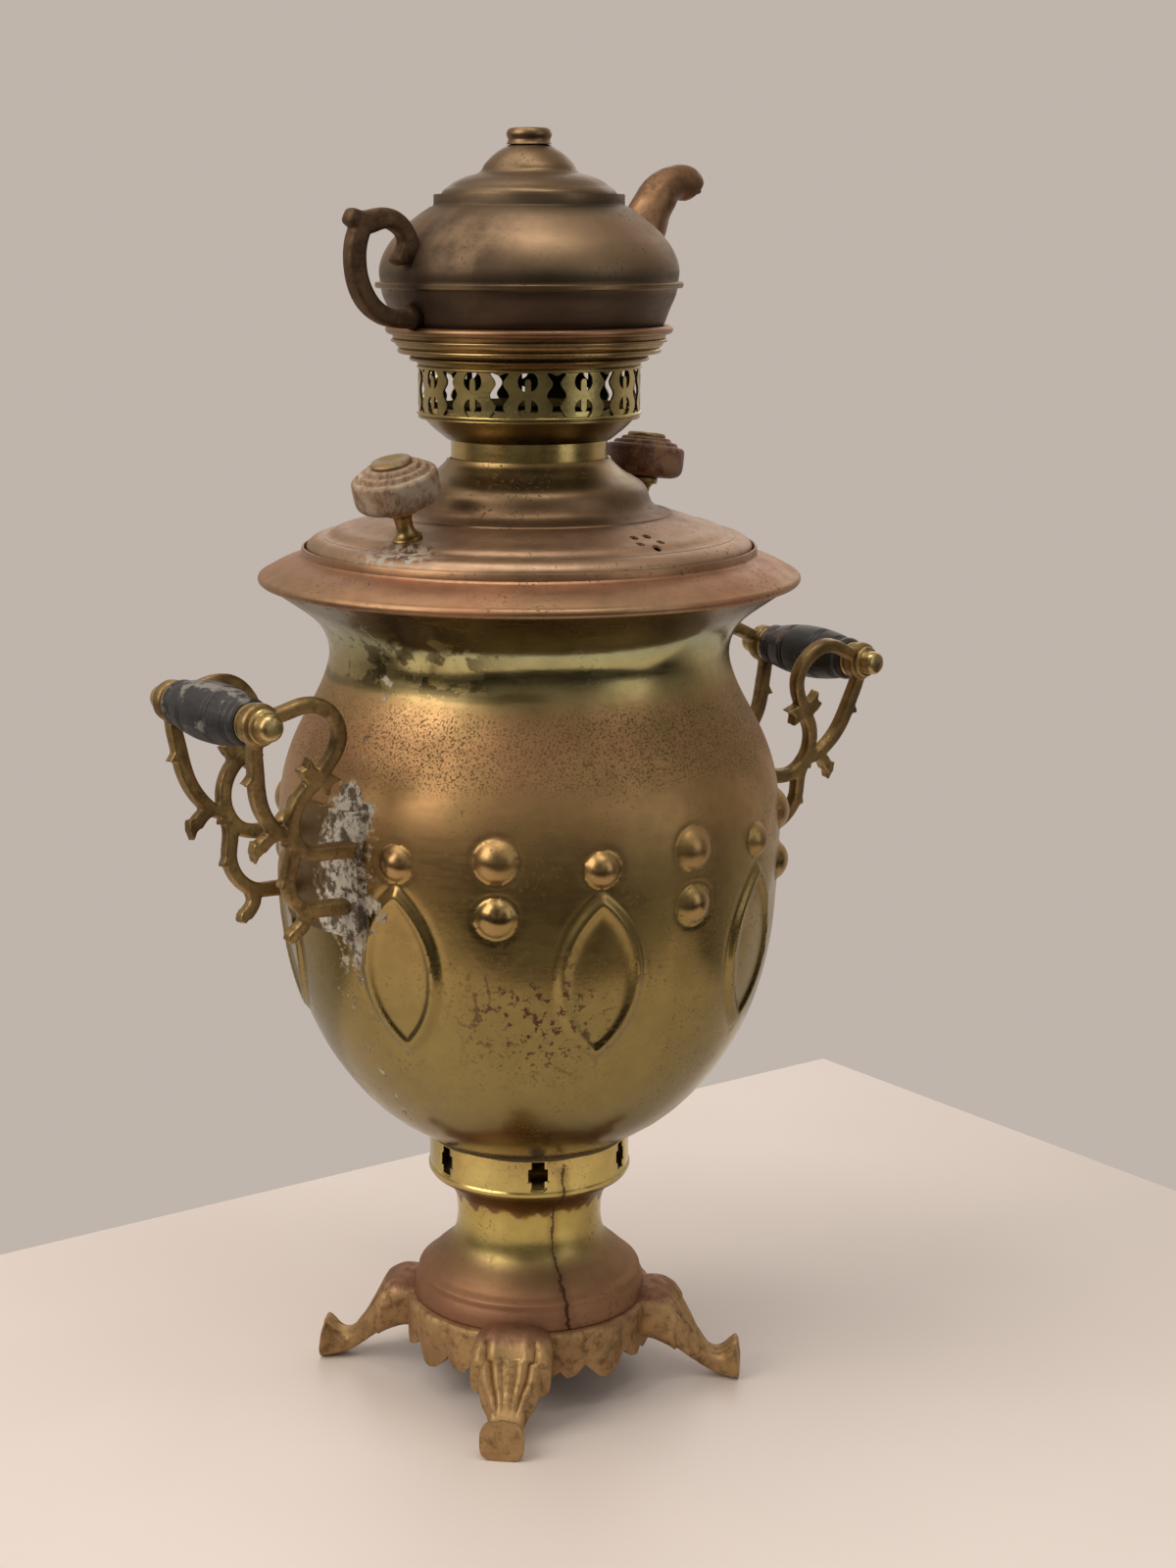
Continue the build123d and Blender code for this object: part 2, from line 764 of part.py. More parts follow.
with BuildPart() as lid_posts:
    for frame in knob_frames.values():
        with Locations(frame):
            add(post.part)
    add(lid_filled, mode=Mode.SUBTRACT)
    for frame in knob_frames.values():
        with Locations(frame):
            add(post_stud.part)
write(lid_posts.part, "lid_posts")

knob_form = (
    (0.0, 0.73), (0.06, 0.8), (0.2, 0.95), (0.48, 1.0), (0.66, 1.0), (0.74, 0.94),
)  # fmt: skip
with BuildPart() as knob:
    with BuildSketch(Plane.XZ):
        with BuildLine():
            side_line = Spline(*[(knob_radius * across, post_height + knob_height * up) for up, across in knob_form])
            bore = post_stud_radius + rod_play
            crest = post_height + knob_height
            Polyline(
                side_line @ 1,
                (0.8 * knob_radius, crest - 0.24 * knob_height),
                (0.78 * knob_radius, crest - 0.14 * knob_height),
                (0.68 * knob_radius, crest - 0.12 * knob_height),
                (0.66 * knob_radius, crest - 0.04 * knob_height),
                (knob_cap_radius + 0.6, crest),
                (bore, crest),
                (bore, post_height),
                side_line @ 0,
            )
        make_face()
    revolve(axis=Axis.Z)

for side, frame in knob_frames.items():
    with BuildPart() as lid_knob:
        with Locations(frame):
            add(knob.part)
    write(lid_knob.part, f"lid_knob_{side}")

with BuildPart() as knob_cap:
    with BuildSketch(Plane.XY.offset(post_height + knob_height)):
        Circle(knob_cap_radius)
    extrude(amount=knob_cap_thickness)
    fillet(knob_cap.faces().sort_by(Axis.Z)[-1].edges(), radius=knob_cap_thickness / 3)

with BuildPart() as lid_knob_caps:
    for frame in knob_frames.values():
        with Locations(frame):
            add(knob_cap.part)
write(lid_knob_caps.part, "lid_knob_caps")

with BuildPart() as lid_nut:
    with BuildSketch(Plane.XY.offset(-lid_nut_thickness - 2 * sheet)):
        RegularPolygon(lid_nut_radius, 6)
        Circle(post_stud_radius + rod_play, mode=Mode.SUBTRACT)
    extrude(amount=lid_nut_thickness + 2 * sheet)

with BuildPart() as lid_nuts:
    for frame in knob_frames.values():
        with Locations(frame):
            add(lid_nut.part)
    add(lid_hollow, mode=Mode.INTERSECT)
write(lid_nuts.part, "lid_nuts")

# ---------------------------------------------------------------- crown
crown_collar_radius = tube_neck_radius + slip_fit
cup_rim_radius = crown_rim_radius - sheet - solder_gap
cup_form = ((0, 0), (0.1, 0.07), (0.27, 0.3), (0.44, 0.53), (0.6, 0.72), (0.79, 0.89), (1, 1))
cup_top = crown_floor + crown_cup_height
cup_outline = stretch(
    cup_form,
    (crown_collar_radius + sheet, crown_floor - crown_collar_depth),
    (cup_rim_radius, gallery_base),
)
with BuildPart() as crown_cup:
    with BuildSketch(Plane.XZ):
        with BuildLine():
            draw_wall(cup_outline, sheet)
        make_face()
        with BuildLine():
            draw_ring(
                crown_collar_radius,
                crown_collar_radius + sheet,
                crown_floor - crown_collar_depth,
                crown_floor + sheet,
            )
        make_face()
        with BuildLine():
            draw_ring(cup_rim_radius - sheet, cup_rim_radius, gallery_base - sheet, cup_top)
        make_face()
        with Locations((cup_rim_radius, gallery_base - sheet)):
            Circle(sheet)
    revolve(axis=Axis.Z)
write(crown_cup.part, "crown_cup")

# The flat ring soldered inside the collar, which rests on top of the chimney.
with BuildPart() as crown_floor_plate:
    with BuildSketch(Plane.XY.offset(crown_floor)):
        Circle(crown_collar_radius)
        Circle(crown_floor_bore_radius, mode=Mode.SUBTRACT)
    extrude(amount=sheet)
write(crown_floor_plate.part, "crown_floor_plate")

gallery_middle = gallery_base + gallery_height / 2
with BuildPart() as figure_cutter:
    with BuildSketch(facing(0, gallery_middle)):
        for turn in (1, -1):
            with Locations((0, turn * figure_eye_rise)):
                Circle(figure_eye_radius)
            with Locations((0, turn * (figure_eye_rise - figure_eye_radius / 2))):
                Rectangle(figure_tongue_width, figure_eye_radius, mode=Mode.SUBTRACT)
            with Locations((0, turn * figure_eye_rise)):
                Circle(figure_tongue_width / 2, mode=Mode.SUBTRACT)
    extrude(amount=2 * crown_rim_radius)

with BuildPart() as slot_cutter:
    half_width = slot_width / 2
    half_height = slot_height / 2
    with BuildSketch(facing(figure_pitch / 2, gallery_middle)):
        with BuildLine():
            for turn in (1, -1):
                foot_notch = Polyline(
                    (-turn * half_width, -turn * half_height),
                    (0, -turn * (half_height - 1.6)),
                    (turn * half_width, -turn * half_height),
                )
                lower = ThreePointArc(
                    foot_notch @ 1, (turn * 0.72 * half_width, -turn * half_height / 2), (turn * half_width, 0)
                )
                ThreePointArc(
                    lower @ 1, (turn * 0.72 * half_width, turn * half_height / 2), (turn * half_width, turn * half_height)
                )
        make_face()
    extrude(amount=2 * crown_rim_radius)

with BuildPart() as crown_gallery:
    with BuildSketch(Plane.XZ):
        with BuildLine():
            draw_ring(crown_rim_radius - sheet, crown_rim_radius, gallery_base, gallery_base + gallery_height)
        make_face()
    revolve(axis=Axis.Z)
    for place in range(-figure_count // 2, figure_count // 2):
        with Locations(Location((0, 0, 0), (0, 0, figure_first_angle + place * figure_pitch))):
            add(figure_cutter.part, mode=Mode.SUBTRACT)
            if place < figure_count // 2 - 1:
                add(slot_cutter.part, mode=Mode.SUBTRACT)
write(crown_gallery.part, "crown_gallery")

crown_form = ((0, 0), (0.1, 0.04), (0.22, 0.13), (0.38, 0.35), (0.54, 0.59), (0.7, 0.85), (0.85, 0.94), (1, 1))
crown_outline = stretch(
    crown_form,
    (crown_rim_radius, crown_ring_base),
    (crown_flare_radius, crown_ring_base + crown_flare_height),
)
crown_seat_middle = crown_seat - sheet / 2
with BuildPart() as crown_top_ring:
    with BuildSketch(Plane.XZ):
        with BuildLine():
            draw_wall(crown_outline, sheet)
        make_face()
        # Spigot inside the gallery.
        with BuildLine():
            draw_ring(
                cup_rim_radius - sheet,
                cup_rim_radius,
                crown_ring_base - gallery_overlap,
                crown_ring_base,
            )
        make_face()
        with BuildLine():
            draw_ring(
                cup_rim_radius - sheet,
                crown_rim_radius - sheet / 2,
                crown_ring_base,
                crown_ring_base + sheet,
            )
        make_face()
        # Ledge that the teapot stands on.
        with BuildLine():
            draw_ring(
                crown_seat_bore_radius,
                radius_at(crown_outline, crown_seat_middle) - sheet / 2,
                crown_seat - sheet,
                crown_seat,
            )
        make_face()
        with Locations((crown_flare_radius + sheet, crown_ring_base + crown_flare_height + sheet)):
            Circle(crown_bead_radius)
    revolve(axis=Axis.Z)
    split(bisect_by=Plane.XY.offset(crown_ring_base - gallery_overlap), keep=Keep.TOP)
write(crown_top_ring.part, "crown_top_ring")

# ---------------------------------------------------------------- teapot
lower_outline = [
    (pot_base_radius, pot_base),
    (pot_heel_radius - 1.4, pot_base + 0.9),
    (pot_heel_radius, pot_base + 2.6),
    (pot_heel_radius + 3.0, pot_base + 0.31 * pot_lower_height),
    (pot_seam_radius - 2.0, pot_base + 0.68 * pot_lower_height),
    (pot_seam_radius, pot_seam),
]
belly_form = (
    (0, 0), (0.1, -0.01), (0.2, 0.0), (0.27, 0.03), (0.37, 0.12), (0.47, 0.24),
    (0.58, 0.42), (0.71, 0.64), (0.85, 0.87), (0.94, 0.98), (1, 1),
)  # fmt: skip
upper_outline = stretch(
    belly_form,
    (pot_seam_radius - sheet / 2, pot_seam),
    (pot_mouth_radius, pot_mouth - pot_mouth_lip + sheet / 2),
)
flange_radius = pot_seam_radius + pot_flange_width

with BuildPart() as teapot_lower_shell:
    with BuildSketch(Plane.XZ):
        with BuildLine():
            draw_wall(lower_outline, sheet)
        make_face()
        with BuildLine():
            draw_ring(0, pot_base_radius + sheet, pot_base, pot_base + sheet)
        make_face()
        with BuildLine():
            draw_ring(pot_seam_radius - sheet, flange_radius, pot_seam - pot_flange_thickness, pot_seam)
        make_face()
    revolve(axis=Axis.Z)
    split(bisect_by=Plane.XY.offset(pot_base), keep=Keep.TOP)
    split(bisect_by=Plane.XY.offset(pot_seam), keep=Keep.BOTTOM)
write(teapot_lower_shell.part, "teapot_lower_shell")

with BuildPart() as pot_block:
    with BuildSketch(Plane.XZ):
        with BuildLine():
            low_side = Spline(*lower_outline)
            step = Line(low_side @ 1, upper_outline[0])
            high_side = Spline(*upper_outline)
            Polyline(high_side @ 1, (0, pot_mouth), (0, pot_base), low_side @ 0)
        make_face()
    revolve(axis=Axis.Z)

# Spout stations: distance from the axis, rise above the seam, radius.
spout_stations = (
    (53.0, 8.5, 11.0), (61.5, 20.5, 9.4), (68.2, 31.5, 8.0), (75.5, 40.2, 7.1), (83.5, 44.6, 6.7), (91.0, 43.6, 5.8),
)  # fmt: skip


def swan_neck(shrink):
    """The neck lofted through its stations, with each radius smaller by shrink."""
    with BuildPart() as neck:
        for place, (out, rise, radius) in enumerate(spout_stations):
            before = spout_stations[max(place - 1, 0)]
            after = spout_stations[min(place + 1, len(spout_stations) - 1)]
            along = (-(after[0] - before[0]), 0, after[1] - before[1])
            with BuildSketch(Plane(origin=(-out, 0, pot_seam + rise), x_dir=(0, 1, 0), z_dir=along)):
                Circle(radius - shrink)
        loft()
    return neck.part


spout_bore = swan_neck(pot_spout_wall)

with BuildPart() as teapot_spout:
    add(swan_neck(0))
    add(spout_bore, mode=Mode.SUBTRACT)
    add(pot_block.part, mode=Mode.SUBTRACT)
write(teapot_spout.part, "teapot_spout")

with BuildPart() as teapot_upper_shell:
    with BuildSketch(Plane.XZ):
        with BuildLine():
            draw_wall(upper_outline, sheet)
        make_face()
        with BuildLine():
            draw_ring(pot_seam_radius - 1.5 * sheet, flange_radius, pot_seam, pot_seam + pot_flange_thickness)
        make_face()
    revolve(axis=Axis.Z)
    split(bisect_by=Plane.XY.offset(pot_seam), keep=Keep.TOP)
    split(bisect_by=Plane.XY.offset(pot_mouth - pot_mouth_lip), keep=Keep.BOTTOM)
    add(spout_bore, mode=Mode.SUBTRACT)
write(teapot_upper_shell.part, "teapot_upper_shell")

# The soldered mouth: an upright lip with the ledge that the lid rests on.
with BuildPart() as teapot_mouth_ring:
    with BuildSketch(Plane.XZ):
        with BuildLine():
            draw_ring(pot_mouth_radius - sheet, pot_mouth_radius, pot_mouth - pot_mouth_lip, pot_mouth)
        make_face()
        with BuildLine():
            draw_ring(pot_ledge_bore_radius, pot_mouth_radius - sheet / 2, pot_ledge - sheet, pot_ledge)
        make_face()
    revolve(axis=Axis.Z)
write(teapot_mouth_ring.part, "teapot_mouth_ring")

with BuildPart() as teapot_handle:
    with BuildSketch(Plane(origin=(0, 0, pot_seam), x_dir=(1, 0, 0), z_dir=(0, -1, 0))):
        with BuildLine():
            Spline((94.0, 28.4), (87.0, 26.2), (80.0, 27.2), (73.5, 27.0), (67.6, 23.5), (64.6, 17.5), (66.0, 10.5))
        trace(line_width=pot_handle_width)
        with BuildLine():
            Spline(
                (87.6, 26.0), (90.2, 18.0), (90.4, 10.0), (88.3, 0.8), (84.0, -5.6), (78.5, -9.6), (71.0, -11.4),
                (pot_heel_radius, -11.4),
            )  # fmt: skip
        trace(line_width=pot_handle_width)
        with BuildLine():
            Line((64.6, pot_stub_rise), (pot_seam_radius - 8.0, pot_stub_rise))
        trace(line_width=pot_stub_width)
    extrude(amount=pot_handle_thickness / 2, both=True)
    add(pot_block.part, mode=Mode.SUBTRACT)
write(teapot_handle.part, "teapot_handle")

# ---------------------------------------------------------------- teapot lid
pot_lid_top = pot_lid_base + pot_lid_height
pot_lid_edge_radius = pot_mouth_radius - sheet - slip_fit
stud_radius = 3.0
step_form = ((0.14, 0.06), (0.3, 0.22), (0.44, 0.36), (0.6, 0.51), (0.79, 0.79), (1, 1))
dome_form = ((0.31, 0.09), (0.46, 0.17), (0.61, 0.26), (0.77, 0.37), (0.92, 0.51), (1, 0.7), (1, 1))
pot_lid_step = (pot_lid_step_radius, pot_lid_base + 12.3)
pot_lid_edge = (pot_lid_edge_radius, pot_lid_base + pot_lid_edge_height)
pot_lid_outline = (
    [(pot_lid_edge_radius, pot_lid_base), pot_lid_edge]
    + stretch(step_form, pot_lid_edge, pot_lid_step)
    + stretch(dome_form, pot_lid_step, (stud_radius + rod_play, pot_lid_top))
)
pot_skirt_radius = pot_ledge_bore_radius - slip_fit
with BuildPart() as teapot_lid:
    with BuildSketch(Plane.XZ):
        with BuildLine():
            draw_wall(pot_lid_outline, sheet)
        make_face()
    revolve(axis=Axis.Z)
write(teapot_lid.part, "teapot_lid")

with BuildPart() as teapot_lid_skirt:
    with BuildSketch(Plane.XZ):
        with BuildLine():
            draw_ring(
                pot_skirt_radius - sheet,
                pot_skirt_radius,
                pot_lid_base - pot_lid_skirt_depth,
                height_at(pot_lid_outline, pot_skirt_radius) + sheet,
            )
        make_face()
    revolve(axis=Axis.Z)
    add(teapot_lid.part, mode=Mode.SUBTRACT)
    split(bisect_by=Plane.XY.offset(height_at(pot_lid_outline, pot_skirt_radius) - sheet / 2), keep=Keep.BOTTOM)
write(teapot_lid_skirt.part, "teapot_lid_skirt")

with BuildPart() as teapot_finial:
    with BuildSketch(Plane.XZ):
        with BuildLine():
            crown_side = Spline(
                (finial_neck_radius + 1.2, pot_lid_top),
                (finial_neck_radius, pot_lid_top + 0.25 * finial_height),
                (finial_radius, pot_lid_top + 0.55 * finial_height),
                (finial_radius, pot_lid_top + 0.8 * finial_height),
                (finial_radius - 1.4, pot_lid_top + finial_height),
            )
            Polyline(
                crown_side @ 1,
                (0, pot_lid_top + finial_height),
                (0, pot_lid_top - 3 * sheet),
                (stud_radius + 1.5, pot_lid_top - 3 * sheet),
                (stud_radius + 1.5, pot_lid_top - 1.2 * sheet),
                (stud_radius, pot_lid_top - 1.2 * sheet),
                (stud_radius, pot_lid_top),
                crown_side @ 0,
            )
        make_face()
    revolve(axis=Axis.Z)
    add(teapot_lid.part, mode=Mode.SUBTRACT)
write(teapot_finial.part, "teapot_finial")

# ---------------------------------------------------------------- handles
def wall_layer(inside, outside, low, high):
    """A layer over the vessel's wall, between two offsets and two heights."""
    with BuildPart() as layer:
        with BuildSketch(Plane.XZ):
            with BuildLine():
                far_side = Spline(*[(r + outside, z) for r, z in vessel_outline])
                near_side = Spline(*[(r + inside, z) for r, z in vessel_outline])
                Line(far_side @ 0, near_side @ 0)
                Line(far_side @ 1, near_side @ 1)
            make_face()
        revolve(axis=Axis.Z)
        split(bisect_by=Plane.XY.offset(low), keep=Keep.TOP)
        split(bisect_by=Plane.XY.offset(high), keep=Keep.BOTTOM)
    return layer.part


vessel_block = turned_block(
    [(r + solder_gap, z) for r, z in vessel_outline], 0, vessel_base, vessel_top
)
plate_layer = wall_layer(
    solder_gap, plate_thickness, handle_height - plate_height, handle_height + plate_height
)
seat_radius = vessel_radius(handle_height) + plate_thickness
splay = degrees(atan2(scroll_eye_offset - scroll_seat_offset, eye_up))
eye = (eye_out, eye_up / cos(radians(splay)))
arm_end = -4.5  # inside the plate, which trims it

# Centre lines of a bracket's bars, outwards and upwards from the plate's centre.
scroll_lines = (
    (eye, (56.2, 49.6), (54.7, 41.0), (51.2, 33.4), (46.2, 26.8), (38.5, 21.5), (33.0, 20.5)),
    (eye, (42.2, 72.6), (34.7, 76.0), (24.7, 76.0), (16.7, 70.3), (13.7, 62.2), (16.2, 54.6), (22.5, 46.5)),
    ((22.5, 45.0), (29.2, 38.5), (32.7, 31.4), (33.2, 23.3), (31.2, 18.6), (26.0, 13.8), (18.5, 12.2)),
    ((32.4, 20.5), (31.4, 11.0), (33.2, 2.5), (31.7, -4.0), (26.7, -9.6), (19.0, -13.0)),
    ((22.0, -12.4), (20.4, -18.8), (24.2, -24.0), (28.0, -27.2)),
    ((38.0, 22.5), (45.0, 20.6), (51.5, 15.2)),
)
scroll_arms = (((21.0, 12.4), (arm_end, 12.4)), ((21.0, -13.2), (arm_end, -13.2)))
scroll_leaves = (
    ((19.5, 43.0), (22.5, 48.0), (29.9, 57.0), (31.0, 50.5), (36.4, 50.8), (27.5, 43.5)),
    ((24.0, 46.5), (17.5, 47.5), (6.6, 42.4), (13.2, 41.2), (14.2, 34.4), (20.5, 40.5)),
)

handle_frames = {
    side: Location((0, 0, 0), (0, 0, turn))
    * Location((seat_radius, 0, handle_height), (0, handle_leans[side], 0))
    for side, turn in (("right", 0), ("left", 180))
}
rod_frames = {
    side: frame * Location((eye_out, 0, eye_up), (-90, 0, 0)) for side, frame in handle_frames.items()
}
boss_start = scroll_eye_offset - eye_boss_width / 2
boss_end = scroll_eye_offset + eye_boss_width / 2
grip_half = boss_start - washer_thickness
rod_bore = rod_radius + rod_play

with BuildPart() as grip:
    with BuildSketch(Plane.XZ):
        with BuildLine():
            swell = Spline(
                (grip_end_radius, -grip_half),
                ((grip_end_radius + grip_radius) / 2, -0.72 * grip_half),
                (grip_radius, 0),
                ((grip_end_radius + grip_radius) / 2, 0.72 * grip_half),
                (grip_end_radius, grip_half),
            )
            Polyline(swell @ 1, (rod_bore, grip_half), (rod_bore, -grip_half), swell @ 0)
        make_face()
        with Locations((grip_radius, 0.34 * grip_half), (grip_radius, -0.34 * grip_half)):
            Circle(0.9, mode=Mode.SUBTRACT)
    revolve(axis=Axis.Z)

with BuildPart() as washers:
    for start in (grip_half, -boss_start):
        with BuildSketch(Plane.XY.offset(start)):
            Circle(washer_radius)
            Circle(rod_bore, mode=Mode.SUBTRACT)
        extrude(amount=washer_thickness)

rod_in_nut = 0.7 * cap_nut_length
with BuildPart() as cap_nut:
    with BuildSketch(Plane.XZ):
        with BuildLine():
            nut_side = Polyline(
                (rod_bore, boss_end),
                (cap_nut_radius + 1.6, boss_end),
                (cap_nut_radius + 1.6, boss_end + 1.4),
                (cap_nut_radius, boss_end + 1.8),
                (cap_nut_radius - 0.4, boss_end + cap_nut_length - 0.8),
            )
            Polyline(
                nut_side @ 1,
                (0.55 * cap_nut_radius, boss_end + cap_nut_length),
                (0, boss_end + cap_nut_length),
                (0, boss_end + rod_in_nut),
                (rod_bore, boss_end + rod_in_nut),
                nut_side @ 0,
            )
        make_face()
    revolve(axis=Axis.Z)

with BuildPart() as cap_nuts:
    with Locations((0, 0, 0), Location((0, 0, 0), (180, 0, 0))):
        add(cap_nut.part)

for side, frame in handle_frames.items():
    with BuildPart() as handle_plate:
        with BuildSketch(facing(0 if side == "right" else 180, handle_height)):
            RectangleRounded(plate_width, plate_height, plate_corner_radius)
        extrude(amount=seat_radius + plate_thickness)
        add(plate_layer, mode=Mode.INTERSECT)
    write(handle_plate.part, f"handle_plate_{side}")

    for end, tilt in (("front", -1), ("back", 1)):
        if side == "left":
            tilt = -tilt
        scroll_place = frame * Location((0, tilt * scroll_seat_offset, 0), (90 - tilt * splay, 0, 0))
        with BuildPart() as handle_scroll:
            with BuildSketch(Plane(scroll_place)):
                for line in scroll_lines:
                    with BuildLine():
                        Spline(*line)
                    trace(line_width=scroll_bar)
                for arm in scroll_arms:
                    with BuildLine():
                        Line(*arm)
                    trace(line_width=scroll_bar)
                for leaf in scroll_leaves:
                    with BuildLine():
                        Polyline(*leaf, close=True)
                    make_face()
                with Locations((51.5, 15.2), (28.0, -27.2)):
                    Circle(0.55 * scroll_bar)
            extrude(amount=scroll_thickness / 2, both=True)
            boss_side = sorted((tilt * boss_start, tilt * boss_end))
            with BuildSketch(Plane(rod_frames[side] * Location((0, 0, boss_side[0])))):
                Circle(eye_boss_radius)
            extrude(amount=eye_boss_width)
            # The eye is faced flat where the washer and grip lie against it.
            with BuildSketch(Plane(rod_frames[side] * Location((0, 0, -boss_start)))):
                Circle(grip_radius)
            extrude(amount=2 * boss_start, mode=Mode.SUBTRACT)
            with BuildSketch(Plane(rod_frames[side] * Location((0, 0, -boss_end)))):
                Circle(rod_bore)
            extrude(amount=2 * boss_end, mode=Mode.SUBTRACT)
            add(handle_plate.part, mode=Mode.SUBTRACT)
            add(vessel_block, mode=Mode.SUBTRACT)
        write(handle_scroll.part, f"handle_scroll_{side}_{end}")

    with BuildPart() as handle_rod:
        with BuildSketch(Plane(rod_frames[side] * Location((0, 0, -boss_end - rod_in_nut)))):
            Circle(rod_radius)
        extrude(amount=2 * (boss_end + rod_in_nut))
    write(handle_rod.part, f"handle_rod_{side}")

    for name, master in (("grip", grip), ("washers", washers), ("nuts", cap_nuts)):
        with BuildPart() as rod_piece:
            with Locations(rod_frames[side]):
                add(master.part)
        write(rod_piece.part, f"handle_{name}_{side}")

# ---------------------------------------------------------------- tap
wall_at_tap = vessel_radius(tap_height)
plug_place = wall_at_tap + plug_out
barrel_top = tap_height + barrel_height / 2
barrel_foot = tap_height - barrel_height / 2
taper = (plug_top_radius - plug_foot_radius) / barrel_height
rosette_layer = wall_layer(
    solder_gap, rosette_thickness, tap_height - 2 * rosette_radius, tap_height + 2 * rosette_radius
)

with BuildPart() as tap_rosette:
    petal_radius = 0.3 * rosette_radius
    with BuildSketch(facing(-90, tap_height)):
        Circle(rosette_radius - petal_radius)
        with PolarLocations(rosette_radius - petal_radius, rosette_petals):
            Circle(petal_radius)
        Circle(shank_radius + solder_gap, mode=Mode.SUBTRACT)
    extrude(amount=belly_radius + rosette_thickness)
    add(rosette_layer, mode=Mode.INTERSECT)
write(tap_rosette.part, "tap_rosette")

spout_floor = tap_height - spout_bend - spout_drop
spout_end = plug_place + spout_run + spout_bend
with BuildPart() as tap_body:
    # Collar against the rosette, trimmed to the slope of the wall.
    with BuildSketch(facing(-90, tap_height).offset(wall_at_tap - shank_radius)):
        Circle(shank_radius + 3.5)
    extrude(amount=shank_radius + 7.0)
    add(rosette_layer, mode=Mode.SUBTRACT)
    add(vessel_block, mode=Mode.SUBTRACT)
    # Shank through the wall, with a bead half-way to the barrel.
    with BuildSketch(facing(-90, tap_height).offset(wall_at_tap - sheet - shank_inside)):
        Circle(shank_radius)
    extrude(amount=plug_out + sheet + shank_inside)
    with BuildSketch(facing(-90, tap_height).offset(wall_at_tap + plug_out / 2 - 1.5)):
        Circle(shank_radius + 1.8)
    extrude(amount=3.0)
    # Spout: out of the barrel, round the bend and down.
    with BuildLine(Plane.YZ) as spout_path:
        Polyline((-plug_place, tap_height), (-(plug_place + spout_run), tap_height))
        CenterArc((-(plug_place + spout_run), tap_height - spout_bend), spout_bend, 90, 90)
        Line((-spout_end, tap_height - spout_bend), (-spout_end, spout_floor))
    with BuildSketch(facing(-90, tap_height).offset(plug_place)):
        Circle(spout_radius)
    sweep()
    with BuildSketch(Plane.XY.offset(spout_floor)):
        with Locations((0, -spout_end)):
            Circle(spout_radius + spout_lip)
    extrude(amount=2.4)
    # Barrel with a bead at each end.
    with BuildSketch(Plane.XY.offset(barrel_foot)):
        with Locations((0, -plug_place)):
            Circle(barrel_radius)
    extrude(amount=barrel_height)
    for start in (barrel_foot, barrel_top - 3.0):
        with BuildSketch(Plane.XY.offset(start)):
            with Locations((0, -plug_place)):
                Circle(barrel_radius + 1.5)
        extrude(amount=3.0)
    # The water's way: shank, barrel and spout bore.
    with BuildSketch(facing(-90, tap_height).offset(wall_at_tap - sheet - shank_inside)):
        Circle(tap_bore_radius)
    extrude(amount=plug_out + sheet + shank_inside, mode=Mode.SUBTRACT)
    with BuildSketch(facing(-90, tap_height).offset(plug_place)):
        Circle(tap_bore_radius)
    sweep(path=spout_path.line, mode=Mode.SUBTRACT)
    with BuildSketch(Plane(origin=(0, -plug_place, barrel_foot))):
        Circle(plug_foot_radius + running_fit)
    with BuildSketch(Plane(origin=(0, -plug_place, barrel_top))):
        Circle(plug_top_radius + running_fit)
    loft(mode=Mode.SUBTRACT)
write(tap_body.part, "tap_body")

plug_over = 2.0  # how far the plug stands out of the barrel at the top
with BuildPart() as tap_key:
    with BuildSketch(Plane(origin=(0, -plug_place, 0), x_dir=(1, 0, 0), z_dir=(0, -1, 0))):
        with BuildLine():
            Polyline(
                (0, barrel_foot - plug_tail_length),
                (plug_tail_radius, barrel_foot - plug_tail_length),
                (plug_tail_radius, barrel_foot),
                (plug_foot_radius, barrel_foot),
                (plug_top_radius + taper * plug_over, barrel_top + plug_over),
                (plug_neck_radius, barrel_top + plug_over + 1.0),
                (plug_neck_radius, barrel_top + key_stem),
                (0, barrel_top + key_stem),
                close=True,
            )
        make_face()
    revolve(axis=Axis((0, -plug_place, 0), (0, 0, 1)))
    # Port through the plug, across the flow when the tap is shut.
    with BuildSketch(Plane(origin=(0, -plug_place, tap_height), z_dir=(1, 0, 0))):
        Circle(tap_bore_radius - 0.5)
    extrude(amount=2 * plug_top_radius, both=True, mode=Mode.SUBTRACT)
    # Flat cast handle with two rings and a bud.
    ring_out = key_ring_radius - 1.0
    ring_up = barrel_top + 0.58 * key_height
    with BuildSketch(Plane(origin=(0, -plug_place, 0), x_dir=(1, 0, 0), z_dir=(0, -1, 0))):
        with Locations((0, barrel_top + (key_stem + key_height) / 2 - 2.0)):
            Rectangle(key_ring_bore, key_height - key_stem)
        with Locations((-ring_out, ring_up), (ring_out, ring_up)):
            Circle(key_ring_radius)
        with Locations((-ring_out, ring_up), (ring_out, ring_up)):
            Circle(key_ring_bore, mode=Mode.SUBTRACT)
        with Locations((0, barrel_top + key_height - 3.5)):
            Circle(3.5)
    extrude(amount=key_thickness / 2, both=True)
    with BuildSketch(Plane(origin=(0, -plug_place, barrel_foot - 0.8 * plug_tail_length), z_dir=(0, 1, 0))):
        Circle(1.0 + rod_play)
    extrude(amount=2 * plug_tail_radius, both=True, mode=Mode.SUBTRACT)
write(tap_key.part, "tap_key")

